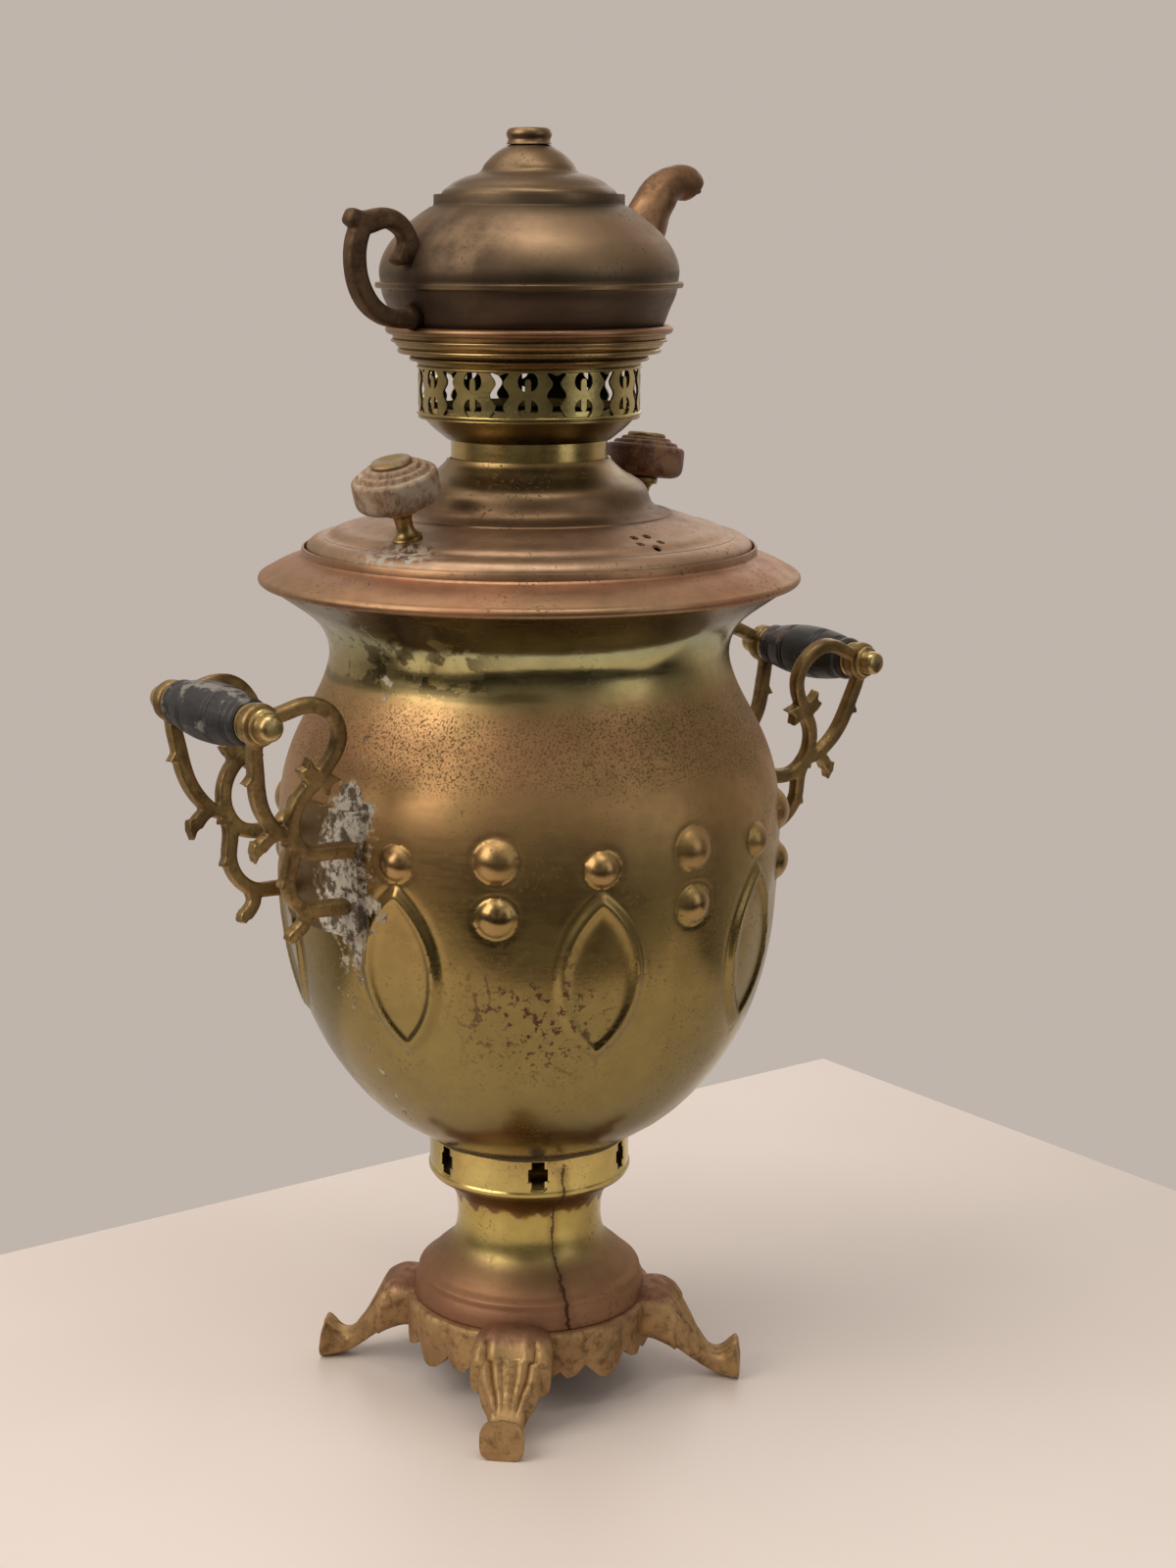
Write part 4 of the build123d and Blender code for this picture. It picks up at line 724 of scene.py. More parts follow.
def vessel_line(count=1200):
    """Outside of the vessel, from its base to the edge of the flare.

    The neck's cove is the spline less two bells d exp(-((z - middle) / width)^2),
    smoothed with a Hanning window that fades in and out at the cove's ends.
    """
    points = np.concatenate(
        [
            stretch(BOWL, (46.3, VESSEL_BASE), BELLY),
            stretch(SHOULDER, BELLY, THROAT),
            stretch(NECK, THROAT, (117.6, VESSEL_TOP)),
        ]
    )
    line = spline(points, count)
    for depth, middle, width in ((3.6, 348.5, 10.5), (2.8, 360.0, 8.0)):
        line[:, 0] -= depth * np.exp(-(((line[:, 1] - middle) / width) ** 2))
    window = np.hanning(61) / np.hanning(61).sum()
    soft = np.convolve(np.pad(line[:, 0], 30, mode="edge"), window, mode="valid")
    share = np.interp(line[:, 1], [310, 322, 356, 366], [0, 1, 1, 0])
    line[:, 0] += (soft - line[:, 0]) * share
    return line


def vessel_radius(height):
    line = vessel_line()
    return float(np.interp(height, line[:, 1], line[:, 0]))


def emboss(angles, heights, radii):
    """How far the wall stands out, for angles in degrees, heights and radii in mm.

    A dome is the cap of a ball: sqrt(b^2 - d^2) - (b - h), with a shallow ring
    pressed in round it. A lens is bounded by two arcs; with e the distance
    inside them, its ridge is 0.8 p exp(-((e - 2.4) / 2.3)^2), a shallow trough
    runs round it, and its pan lies 0.4 mm low.
    """
    out = np.zeros(np.broadcast(angles, heights, radii).shape)
    dome_height = sizes().dome_height / MM
    ridge = sizes().lens_ridge / MM
    domes = [(a, 154.0, 9.2) for a in DOME_COLUMNS] + [(a, 130.0, 8.6) for a in DOME_COLUMNS]
    domes += [(a, 150.0, 7.6) for a in LENS_ANGLES]
    for angle, rise, size in domes:
        across = np.radians(turned_from(angles, angle)) * radii
        away = np.hypot(across, heights - (VESSEL_BASE + rise))
        ball = (size**2 + dome_height**2) / (2 * dome_height)
        cap = np.sqrt(np.maximum(ball**2 - away**2, 0)) - (ball - dome_height)
        out = np.maximum(out, cap) - 0.3 * np.exp(-(((away - size - 1.0) / 1.3) ** 2))
    half_width, half_height = 18.5, 37.0
    arc = (half_width**2 + half_height**2) / (2 * half_width)
    for angle in LENS_ANGLES:
        across = np.radians(turned_from(angles, angle)) * radii
        up = heights - (VESSEL_BASE + 102.0)
        inside = arc - np.maximum(
            np.hypot(across + arc - half_width, up), np.hypot(across - arc + half_width, up)
        )
        inside = np.where(np.abs(across) < 30, inside, -50)
        out += 0.8 * ridge * np.exp(-(((inside - 2.4) / 2.3) ** 2))
        out -= 0.35 * np.exp(-(((inside + 2.0) / 1.6) ** 2))
        out -= 0.4 * (1 / (1 + np.exp(-(inside - 6.6) / 0.9)))
    return out


def vessel_dents(angles, heights):
    """Shallow dents: each takes depth times exp(-(along^2 + up^2) / size^2) off the radius."""
    out = np.zeros(np.broadcast(angles, heights).shape)
    for angle, height, wide, tall, depth in (
        (128.0, 236.0, 8.0, 12.0, 1.2),
        (100.0, 232.0, 9.0, 16.0, 0.5),
        (58.0, 305.0, 14.0, 12.0, 0.35),
        (20.0, 330.0, 16.0, 14.0, 0.4),
        (75.0, 190.0, 12.0, 14.0, 0.4),
        (250.0, 210.0, 14.0, 18.0, 0.5),
        (200.0, 290.0, 12.0, 20.0, 0.4),
        (320.0, 180.0, 16.0, 12.0, 0.5),
    ):
        across = turned_from(angles, angle) / wide
        out -= depth * np.exp(-(across**2) - ((heights - height) / tall) ** 2)
    return out


class SAMOVAR_OT_vessel(bpy.types.Operator):
    """Spin and emboss the water vessel"""

    bl_idname = "samovar.vessel"
    bl_label = "Vessel"

    def execute(self, context):
        # Few rows below the belly, close ones over the embossing, and a coarse inner wall.
        line = vessel_line()
        heights = np.concatenate(
            [
                np.linspace(VESSEL_BASE, 180, 10, endpoint=False),
                np.linspace(180, 292, 112, endpoint=False),
                np.linspace(292, VESSEL_TOP, 24),
            ]
        )
        radii = np.interp(heights, line[:, 1], line[:, 0])
        angles = np.linspace(0, 360, VESSEL_STEPS, endpoint=False)[:, None]
        stand = emboss(angles, heights[None], radii[None]) + vessel_dents(angles, heights[None])
        stand *= np.clip((VESSEL_TOP - heights) / 12, 0, 1) * np.clip((heights - VESSEL_BASE) / 8, 0, 1)
        outer_r = radii[None] + stand
        few = np.concatenate([np.arange(0, 122, 12), np.arange(123, 146, 2)])
        inner_r = np.broadcast_to(radii[few][::-1] - VESSEL_INSET, (VESSEL_STEPS, len(few)))
        inner_h = heights[few][::-1]
        r = np.concatenate([outer_r, inner_r], axis=1)
        grid = on_circle(r, angles, np.concatenate([heights, inner_h])[None])
        shells = [(grid, weave(VESSEL_STEPS, r.shape[1], True, True))]
        nodes = ["body_bowl", "body_band", "body_neck"]
        piece("vessel_wall", shells, "vessel", nodes, vessel_finish())
        return {"FINISHED"}


def lime_crust(finish, colour, roughness, metallic):
    """White scale over and below the right handle's plate, running down the wall."""
    angle, height = finish.angle(), finish.height()
    wobble = finish.sway(12.0, 60.0, 5.0, 0.6)
    off = finish.math("ABSOLUTE", finish.less(finish.plus(angle, wobble), 9.0))
    widths = ((0.0, 0.0), (0.3, 0.05), (0.42, 0.13), (0.52, 0.40), (0.9, 0.36), (1.0, 0.0))
    rise = finish.span(height, 170.0, 305.0, smooth=False)
    wide = finish.ramp(rise, [(share, (width,) * 3) for share, width in widths])
    reach = finish.less(finish.times(wide, 18.0), off)
    ragged = finish.sway(24.0, 95.0, 7.0, 0.7)
    crust = finish.span(finish.plus(reach, ragged), -0.4, 2.0)
    thick = finish.span(finish.noise(130.0, 6.0, 0.7), 0.43, 0.53)
    crust = finish.times(crust, finish.span(finish.noise(420.0, 4.0, 0.7), 0.34, 0.50, 0.55, 1.0))
    lime = finish.mix(thick, (0.10, 0.075, 0.055), colours().lime)
    colour = finish.mix(crust, colour, lime)
    roughness = finish.plus(roughness, finish.times(crust, 0.6))
    return colour, roughness, finish.less(metallic, crust, clamp=True)


def rust_scatter(finish, colour, roughness, metallic):
    """Brown corrosion scattered between two lenses, and fine specks on the shoulder."""
    patch = finish.near((64.0, 86.0, 206.0), 46.0, 0.8)
    blots = finish.span(finish.noise(260.0, 6.0, 0.65), 0.54, 0.60)
    rust = finish.times(blots, patch)
    dust = finish.span(finish.noise(1100.0, 2.0, 0.5), 0.52, 0.60)
    dust = finish.times(dust, finish.band(finish.height(), (296.0, 306.0), (338.0, 326.0)), 0.55)
    brown = finish.math("MAXIMUM", rust, dust)
    colour = finish.mix(brown, colour, (0.11, 0.045, 0.02))
    roughness = finish.plus(roughness, finish.times(brown, 0.35))
    return colour, roughness, finish.less(metallic, finish.times(brown, 0.5), clamp=True)


def dome_shine(finish, colour, roughness, metallic):
    """Browner, slightly glossier tops on the domes of the belly."""
    belly = finish.span(finish.radius(), 114.6, 116.6)
    top = finish.times(belly, finish.band(finish.height(), (240.0, 246.0), (288.0, 284.0)))
    colour = finish.mix(finish.times(top, 0.45), colour, colours().dull_brass)
    return colour, finish.less(roughness, finish.times(top, 0.05)), metallic


def neck_painted_reflection_and_shade(finish, colour, roughness, metallic):
    """Painted dark reflections in patches on the left of the neck, and a painted shade line in the crease
    below the flare.
    """
    angle, height = finish.angle(), finish.height()
    # Painted reflection: dark patches on the left of the neck stand in for dark things that the glossy
    # neck reflects.
    patch = finish.span(finish.noise(34.0, 5.0, 0.65, finish.scaled(1.0, 1.0, 1.5)), 0.50, 0.54)
    side = finish.band(angle, (50.0, 34.0), (-25.0, -5.0))
    painted_dark_reflection = finish.times(patch, side, finish.span(height, 334.0, 339.0))
    # Painted shade: a dark line along the crease at 338 mm, on the left of the neck.
    wave = finish.sway(9.0, 18.0, 3.0)
    level = finish.math("ABSOLUTE", finish.less(finish.plus(height, wave), 338.0))
    line = finish.times(finish.span(level, 0.8, 3.0, 0.5, 0.0), finish.span(angle, 66.0, 44.0))
    dark = finish.math("MAXIMUM", finish.times(painted_dark_reflection, 0.8), line)
    return finish.mix(dark, colour, (0.075, 0.055, 0.025)), roughness, metallic


def vessel_finish():
    olive = (0.26, 0.20, 0.07)
    return aged_brass(
        "vessel_brass",
        [
            (120, (0.25, 0.17, 0.055), 0.22),
            (150, (0.28, 0.22, 0.08), 0.18),
            (200, (0.27, 0.205, 0.075), 0.20),
            (245, (0.36, 0.25, 0.09), 0.25),
            (290, (0.48, 0.285, 0.12), 0.42),
            (318, (0.40, 0.225, 0.105), 0.50),
            (332, (0.46, 0.28, 0.125), 0.42),
            (340, (0.48, 0.37, 0.16), 0.28),
            # Painted reflection: the brighter, pale green colour at 350 to 358 mm stands in for the
            # greenish reflection on the neck's gloss, over its brass colour.
            (350, (0.50, 0.44, 0.20), 0.18),
            (358, (0.42, 0.44, 0.25), 0.16),
            (366, (0.16, 0.12, 0.05), 0.22),
            (377, (0.20, 0.15, 0.06), 0.30),
        ],
        patina=0.5,
        specks=0.5,
        tarnish=olive,
        marks=(dome_shine, rust_scatter, neck_painted_reflection_and_shade, lime_crust),
    )


# ---------------------------------------------------------------- rim and lid
def rim_profile():
    """The dished plate, its lip and the wired edge, as one closed outline."""
    plate = spline(
        [(101.2, LEDGE_TOP + 0.2), (104.5, 386.2), (109.5, 384.4), (114.5, 382.0), (118.2, 379.9)], 24
    )
    edge_angles = np.radians(np.linspace(70, -150, 18))
    edge = np.stack([117.8 + 2.2 * np.cos(edge_angles), 377.7 + 2.2 * np.sin(edge_angles)], axis=1)
    under = spline([(113.0, 380.9), (108.0, 383.1), (103.0, 384.9), (99.5, 386.0)], 16)
    lip = polyline(
        (LID_LEDGE_BORE, 386.0), (LID_LEDGE_BORE, 387.2), (99.0, 387.2), (99.4, 387.6), (99.4, 391.0),
        (99.7, 391.5), (100.3, 391.5), (100.6, 391.0), (100.6, 388.2),
    )  # fmt: skip
    return joined(plate, edge, under, lip)[::-1]


class SAMOVAR_OT_rim(bpy.types.Operator):
    """Spin the rim with its wired edge and the lip round the lid"""

    bl_idname = "samovar.rim"
    bl_label = "Rim"

    def execute(self, context):
        finish = aged_brass(
            "rim_brass",
            [
                (375.0, (0.36, 0.22, 0.115), 0.42),
                (380.0, (0.42, 0.255, 0.14), 0.46),
                (386.0, (0.42, 0.225, 0.13), 0.46),
                (392.0, (0.36, 0.21, 0.11), 0.40),
            ],
            patina=0.6,
            specks=0.9,
            grain=0.8,
            green=0.05,
            tarnish=tuple(colours().copper),
            seed=3.0,
        )
        piece("rim_plate", [lathe(rim_profile(), 240)], "vessel", ["rim_ring"], finish)
        return {"FINISHED"}


def lid_outline():
    """Outside of the lid, from its edge up over the ogee to the collar."""
    edge = polyline((98.3, LID_BASE), (98.3, 391.2))
    brim = spline(
        [
            (98.0, 392.4), (96.6, 394.0), (93.5, 395.6), (87.5, 397.1), (86.0, 398.2), (80.0, 400.2),
            (74.4, 402.0), (68.0, 404.1), (63.4, 405.2),
        ],
        48,
    )
    step = polyline((63.0, 405.9))
    ogee = spline(
        [(61.0, 406.2), (57.2, 407.6), (54.6, 409.6), (53.2, 412.2), (52.4, 414.6), (51.0, 417.4),
         (48.4, 419.8), (44.6, 421.9), (41.2, 424.0), (38.4, 426.4), (36.6, 428.3), (35.8, 429.8)],
        60,
    )  # fmt: skip
    return joined(edge, brim, step, ogee)


STEAM_PLACE = 80.5  # middle of the steam holes' ring, from the axis
STEAM_RING = 5.8
STEAM_BORE = 1.9
STEAM_HOLES = 5


class SAMOVAR_OT_lid(bpy.types.Operator):
    """Spin the stepped lid and bore its steam holes"""

    bl_idname = "samovar.lid"
    bl_label = "Lid"

    def execute(self, context):
        wall = sheet_wall(lid_outline())
        skirt = polyline((90.1, 380.9), (91.1, 380.9), (91.1, 396.2), (90.1, 396.2))
        nodes = ["lid_shell", "lid_throat", "lid_skirt"]
        shells = [lathe(wall, 240), lathe(skirt)]
        obj = piece("lid_cover", shells, "lid", nodes, lid_finish())
        drill = polyline((0.0, 390.0), (STEAM_BORE, 390.0), (STEAM_BORE, 410.0), (0.0, 410.0))
        bores = []
        for place in range(STEAM_HOLES):
            a = place * TURN / STEAM_HOLES
            at = shift(STEAM_PLACE + STEAM_RING * np.cos(a), STEAM_RING * np.sin(a), 0)
            bores.append(set_at(lathe(drill, 20, closed=False), turn("z", 90.0) @ at))
        cut(obj, bores)
        return {"FINISHED"}


def lid_finish():
    def chalk(finish, colour, roughness, metallic):
        """Lime at the lid's right edge and round the right knob's foot."""
        edge = finish.near((93.0, 26.0, 390.0), 26.0, 0.7)
        foot = finish.near((76.9, 15.5, 401.0), 13.0, 0.6)
        spots = finish.span(finish.noise(300.0, 5.0, 0.7), 0.46, 0.56)
        white = finish.times(finish.math("MAXIMUM", edge, foot), spots, 0.8)
        colour = finish.mix(white, colour, colours().lime)
        roughness = finish.plus(roughness, finish.times(white, 0.5))
        return colour, roughness, finish.less(metallic, white, clamp=True)

    return aged_brass(
        "lid_brass",
        [
            (386.0, (0.36, 0.245, 0.15), 0.46),
            (396.0, (0.44, 0.285, 0.18), 0.48),
            (403.0, (0.38, 0.235, 0.14), 0.46),
            (407.0, (0.20, 0.12, 0.066), 0.44),
            (416.0, (0.18, 0.115, 0.064), 0.40),
            (424.0, (0.30, 0.21, 0.095), 0.32),
            (430.0, (0.30, 0.20, 0.08), 0.34),
        ],
        patina=0.4,
        specks=0.8,
        grain=0.8,
        tarnish=(0.17, 0.10, 0.06),
        marks=(chalk,),
        seed=5.0,
    )


# ---------------------------------------------------------------- lid knobs
KNOB_TURN = 11.4
KNOB_PLACE = 78.5
KNOB_LEANS = {"right": 16.0, "left": 9.0}
KNOB_GRAIN = (1, 1, 0.5)  # how close the streaks lie along each axis


def knob_frame(side):
    """Where a knob's post stands on the lid."""
    line = lid_outline()[::-1]
    height = float(np.interp(KNOB_PLACE, line[:, 0], line[:, 1]))
    about = KNOB_TURN + (180.0 if side == "left" else 0.0)
    return turn("z", about) @ shift(KNOB_PLACE, 0, height) @ turn("y", KNOB_LEANS[side])


def post_profile():
    waist = spline([(6.0, 1.4), (4.7, 2.6), (3.7, 5.2), (3.7, 8.0), (4.4, 10.6), (5.4, 11.6)], 24)
    return joined(
        polyline((0.0, -3.0), (6.2, -3.0), (6.4, 0.9)),
        waist,
        polyline((6.9, 12.0), (7.2, 12.6), (7.2, 14.2), (6.8, 14.95), (0.0, 14.95)),
    )


def knob_profile():
    """The wooden knob: a bowl below, a rounded edge, and rings stepped in on top."""
    side = spline(
        [
            (13.4, 15.05), (16.2, 16.0), (17.7, 17.6), (18.3, 20.4), (18.3, 26.6), (18.0, 28.2),
            (17.2, 29.0),
        ],
        28,
    )
    return joined(
        polyline((2.6, 15.05)),
        side,
        polyline((16.2, 29.2), (15.4, 28.7), (15.0, 29.3)),
        spline([(14.8, 30.0), (14.3, 30.9), (13.4, 31.2)], 6),
        polyline((12.6, 31.1), (12.1, 30.7), (11.8, 31.2)),
        spline([(11.6, 31.9), (11.0, 32.8), (10.0, 33.0)], 6),
        polyline((2.6, 33.0)),
    )


def cap_profile():
    return polyline(
        (0.0, 33.05), (8.4, 33.05), (8.8, 33.4), (8.8, 34.2), (8.3, 34.9), (5.0, 35.2), (4.4, 35.0),
        (0.0, 35.1),
    )  # fmt: skip


class SAMOVAR_OT_lid_knobs(bpy.types.Operator):
    """Turn the lid's two knobs, their posts, caps and nuts"""

    bl_idname = "samovar.lid_knobs"
    bl_label = "Lid knobs"

    def execute(self, context):
        frames = {side: knob_frame(side) for side in KNOB_LEANS}

        def on_each(profile):
            return [set_at(lathe(profile, 64, closed=False), matrix) for matrix in frames.values()]

        fitting = plain_metal("post_brass", (0.34, 0.25, 0.10), 0.32, 0.7, 2.0)
        cap = plain_metal("cap_brass", (0.34, 0.26, 0.14), 0.42, 0.6, 7.0)
        piece("knob_posts", on_each(post_profile()), "lid", ["lid_posts"], fitting)
        piece("knob_caps", on_each(cap_profile()), "lid", ["lid_knob_caps"], cap)
        bleached = ((0.36, 0.24, 0.15), (0.17, 0.10, 0.055), (0.40, 0.31, 0.22))
        red = ((0.20, 0.075, 0.032), (0.09, 0.032, 0.016), (0.30, 0.16, 0.08))
        woods = {
            "right": old_wood("bleached_knob", *bleached, 0.10, KNOB_GRAIN, 0.7),
            "left": old_wood("red_knob", *red, 0.12, KNOB_GRAIN, 0.5, 4.0),
        }
        for side, matrix in frames.items():
            shells = [set_at(lathe(knob_profile(), 96), matrix)]
            piece(f"knob_{side}", shells, "lid", [f"lid_knob_{side}"], woods[side])
        dress("lid_nuts", plain_metal("nut_brass", (0.46, 0.34, 0.14), 0.4, 0.7, 9.0))
        return {"FINISHED"}


# ---------------------------------------------------------------- pedestal and fire tube
SKIRT_FOOT = (
    (0, 0), (0.15, 0.03), (0.32, 0.14), (0.47, 0.31), (0.63, 0.56), (0.75, 0.76), (0.87, 0.9),
    (1, 0.965)
)  # fmt: skip
SKIRT_NECK = ((0, 0), (0.3, 0.02), (0.55, 0.12), (0.72, 0.3), (0.88, 0.65), (1, 0.98))
BAND_RADIUS = 46.3
VENT_ANGLES = tuple(57.0 + 60.0 * place for place in range(6))
# Half the width of a draught slot and of its ears, and the heights they lie between.
SLOT_HALF, SLOT_LOW, SLOT_HIGH = 3.0, 105.5, 118.5
EARS_HALF, EARS_LOW, EARS_HIGH = 4.5, 109.0, 115.0


def pedestal_line():
    """Outside of the pedestal from the foot's plate to the top of the vent band."""
    flare = stretch(SKIRT_FOOT, (54.6, FOOT_TOP), (33.5, FOOT_TOP + 31.0))
    neck = stretch(SKIRT_NECK, (33.5, FOOT_TOP + 36), (46.0, 100.0))
    skirt = spline(np.concatenate([flare, neck[1:]]), 110)
    low, high = FOOT_TOP + 11.5, FOOT_TOP + 14.0
    up = np.interp(skirt[:, 1], [low - 2.5, low], [0, 1])
    down = np.interp(skirt[:, 1], [low, high], [0, 1])
    skirt[:, 0] += (up - down) * 1.3
    ring = polyline((BAND_RADIUS, 101.0), (46.9, 101.8), (46.9, 103.2), (BAND_RADIUS, 104.0))
    band = spaced(polyline((BAND_RADIUS, SLOT_LOW), (BAND_RADIUS, SLOT_HIGH)), 1.0)
    return joined(skirt, ring, band, polyline((BAND_RADIUS, PEDESTAL_TOP)))


class SAMOVAR_OT_pedestal(bpy.types.Operator):
    """Spin the pedestal and pierce its band with draught slots"""

    bl_idname = "samovar.pedestal"
    bl_label = "Pedestal"

    def execute(self, context):
        line = pedestal_line()
        levels = [SLOT_LOW, EARS_LOW, EARS_HIGH, SLOT_HIGH]
        heights = np.unique(np.concatenate([line[:, 1], levels]))
        radii = np.interp(heights, line[:, 1], line[:, 0])
        slim, wide = np.degrees(SLOT_HALF / BAND_RADIUS), np.degrees(EARS_HALF / BAND_RADIUS)
        edges = np.array([a + k for a in VENT_ANGLES for k in (-wide, -slim, slim, wide)])
        even = np.arange(0, 360, 1.875)
        clear = np.min(np.abs(turned_from(even[:, None], edges)), axis=1) > 0.7
        angles = np.unique(np.concatenate([even[clear], edges % 360]))
        grid = on_circle(radii, angles[:, None], heights)
        middle_a = angles + np.diff(np.append(angles, angles[0] + 360)) / 2
        off = np.min(np.abs(turned_from(middle_a[:, None], np.array(VENT_ANGLES))), axis=1)[:, None]
        middle_h = ((heights[1:] + heights[:-1]) / 2)[None]
        slot = (off < slim) & (middle_h > SLOT_LOW) & (middle_h < SLOT_HIGH)
        ears = (off < wide) & (middle_h > EARS_LOW) & (middle_h < EARS_HIGH)
        shells = [(grid, weave(len(angles), len(heights), True, False, ~(slot | ears)))]
        finish = pedestal_finish()
        obj = piece(
            "pedestal", shells, "vessel", ["pedestal_shell"], finish, recalculate=False
        )
        solid = obj.modifiers.new("sheet", "SOLIDIFY")
        solid.thickness = SHEET * MM
        solid.offset = -1.0
        return {"FINISHED"}


def pedestal_finish():
    def stains(finish, colour, roughness, metallic):
        """The scalloped brown stain below the band, and the wavy seam down the front."""
        angle, height = finish.angle(), finish.height()
        waves = finish.times(finish.math("SINE", finish.times(angle, 0.32)), 2.2)
        ragged = finish.sway(9.0, 90.0, 5.0)
        level = finish.plus(height, finish.plus(waves, ragged))
        below = finish.times(finish.span(level, 88.5, 90.5), finish.span(height, 101.5, 100.0))
        brown = finish.times(below, 0.85)
        colour = finish.mix(brown, colour, (0.20, 0.10, 0.045))
        roughness = finish.plus(roughness, finish.times(brown, 0.2))
        bent = finish.plus(angle, finish.sway(11.0, 110.0, 7.0, 0.7))
        seam = finish.math("ABSOLUTE", finish.less(bent, 71.0))
        below_top = finish.span(height, 117.0, 114.0)
        line = finish.times(finish.span(seam, 0.3, 1.5, 1.0, 0.0), below_top)
        halo = finish.times(finish.span(seam, 1.5, 6.5, 0.35, 0.0), below_top)
        colour = finish.mix(halo, colour, (0.16, 0.08, 0.045))
        colour = finish.mix(finish.times(line, 0.8), colour, (0.07, 0.04, 0.025))
        return colour, finish.plus(roughness, finish.times(line, 0.3)), metallic

    return aged_brass(
        "pedestal_brass",
        [
            (40.0, (0.31, 0.155, 0.09), 0.58),
            (54.0, (0.34, 0.18, 0.10), 0.56),
            (62.0, (0.29, 0.18, 0.09), 0.52),
            (67.0, (0.36, 0.26, 0.10), 0.44),
            (72.0, (0.44, 0.34, 0.12), 0.30),
            (79.0, (0.52, 0.41, 0.13), 0.17),
            (96.0, (0.54, 0.41, 0.12), 0.16),
            (101.0, (0.50, 0.38, 0.13), 0.22),
            (106.0, (0.62, 0.49, 0.17), 0.16),
            (119.0, (0.60, 0.46, 0.16), 0.20),
        ],
        patina=0.35,
        specks=0.5,
        tarnish=tuple(colours().dull_brass),
        marks=(stains,),
        seed=8.0,
    )


class SAMOVAR_OT_fire_tube(bpy.types.Operator):
    """Spin the charcoal tube and dress its grate"""

    bl_idname = "samovar.fire_tube"
    bl_label = "Fire tube"

    def execute(self, context):
        outside = joined(
            polyline((46.3, 119.0), (46.3, 120.2), (44.0, 120.2)),
            spaced(polyline((44.0, 150.0), (34.4, 300.0)), 12),
            spaced(polyline((34.4, 300.0), (34.4, 444.6)), 12),
            polyline((34.2, 445.6), (33.8, 446.0), (33.4, 445.8)),
        )
        inside = polyline(
            (33.2, 445.0), (33.2, 300.0), (42.8, 150.0), (42.8, 120.2), (38.0, 120.2), (38.0, 119.0)
        )
        finish = aged_brass(
            "tube_brass",
            [
                (119.0, (0.12, 0.09, 0.06), 0.6),
                (300.0, (0.20, 0.15, 0.08), 0.5),
                (428.0, (0.50, 0.38, 0.12), 0.20),
                (434.0, (0.58, 0.45, 0.15), 0.16),
                (446.0, (0.36, 0.28, 0.10), 0.24),
            ],
            patina=0.5,
            specks=0.3,
            seed=11.0,
        )
        shells = [lathe(joined(outside, inside), 128)]
        piece("fire_tube_wall", shells, "vessel", ["fire_tube", "chimney"], finish)
        iron = rough_cast("grate_iron", (0.10, 0.085, 0.07), (0.05, 0.035, 0.03), 0.0, 0.7)
        dress("grate", iron)
        return {"FINISHED"}


# ---------------------------------------------------------------- foot
LEG_BACK = (
    (52.0, 44.4), (57.0, 44.9), (62.0, 44.2), (66.4, 40.8), (69.8, 35.0), (73.4, 28.0), (78.0, 20.8),
    (83.2, 15.2), (88.0, 12.4), (92.0, 13.2), (95.4, 16.2), (97.6, 18.0)
)  # fmt: skip
LEG_UNDER = (
    (52.0, 20.0), (55.0, 20.6), (58.5, 20.4), (62.5, 19.2), (66.5, 17.6), (70.5, 15.4), (74.5, 12.6),
    (79.0, 8.6), (84.0, 4.6), (90.0, 1.6), (96.0, 0.2), (100.0, 0.0)
)  # fmt: skip
LEG_WIDTH = (
    (0.0, 33.0), (0.1, 36.0), (0.22, 36.5), (0.34, 33.5), (0.46, 27.0), (0.58, 20.5), (0.68, 16.4),
    (0.78, 14.8), (0.87, 15.8), (0.94, 18.6), (1.0, 20.0)
)  # fmt: skip

# How strongly the flutes stand, against the share of the leg.
LEG_FLUTED = ((0, 0.0), (0.1, 0.1), (0.2, 0.5), (0.26, 1.0), (0.5, 1.0), (0.68, 0.5), (0.76, 0.0))
FOOT_REACH = 100.0  # from the axis to the toes' end faces
# Heights of the apron's lower edge, against the degrees from a leg's middle.
APRON_EDGE = (
    (0, 15.0), (4, 16.0), (8, 19.5), (11.5, 23.5), (16, 19.5), (21, 18.5), (24, 22.0), (30, 18.0),
    (45, 18.0)
)  # fmt: skip


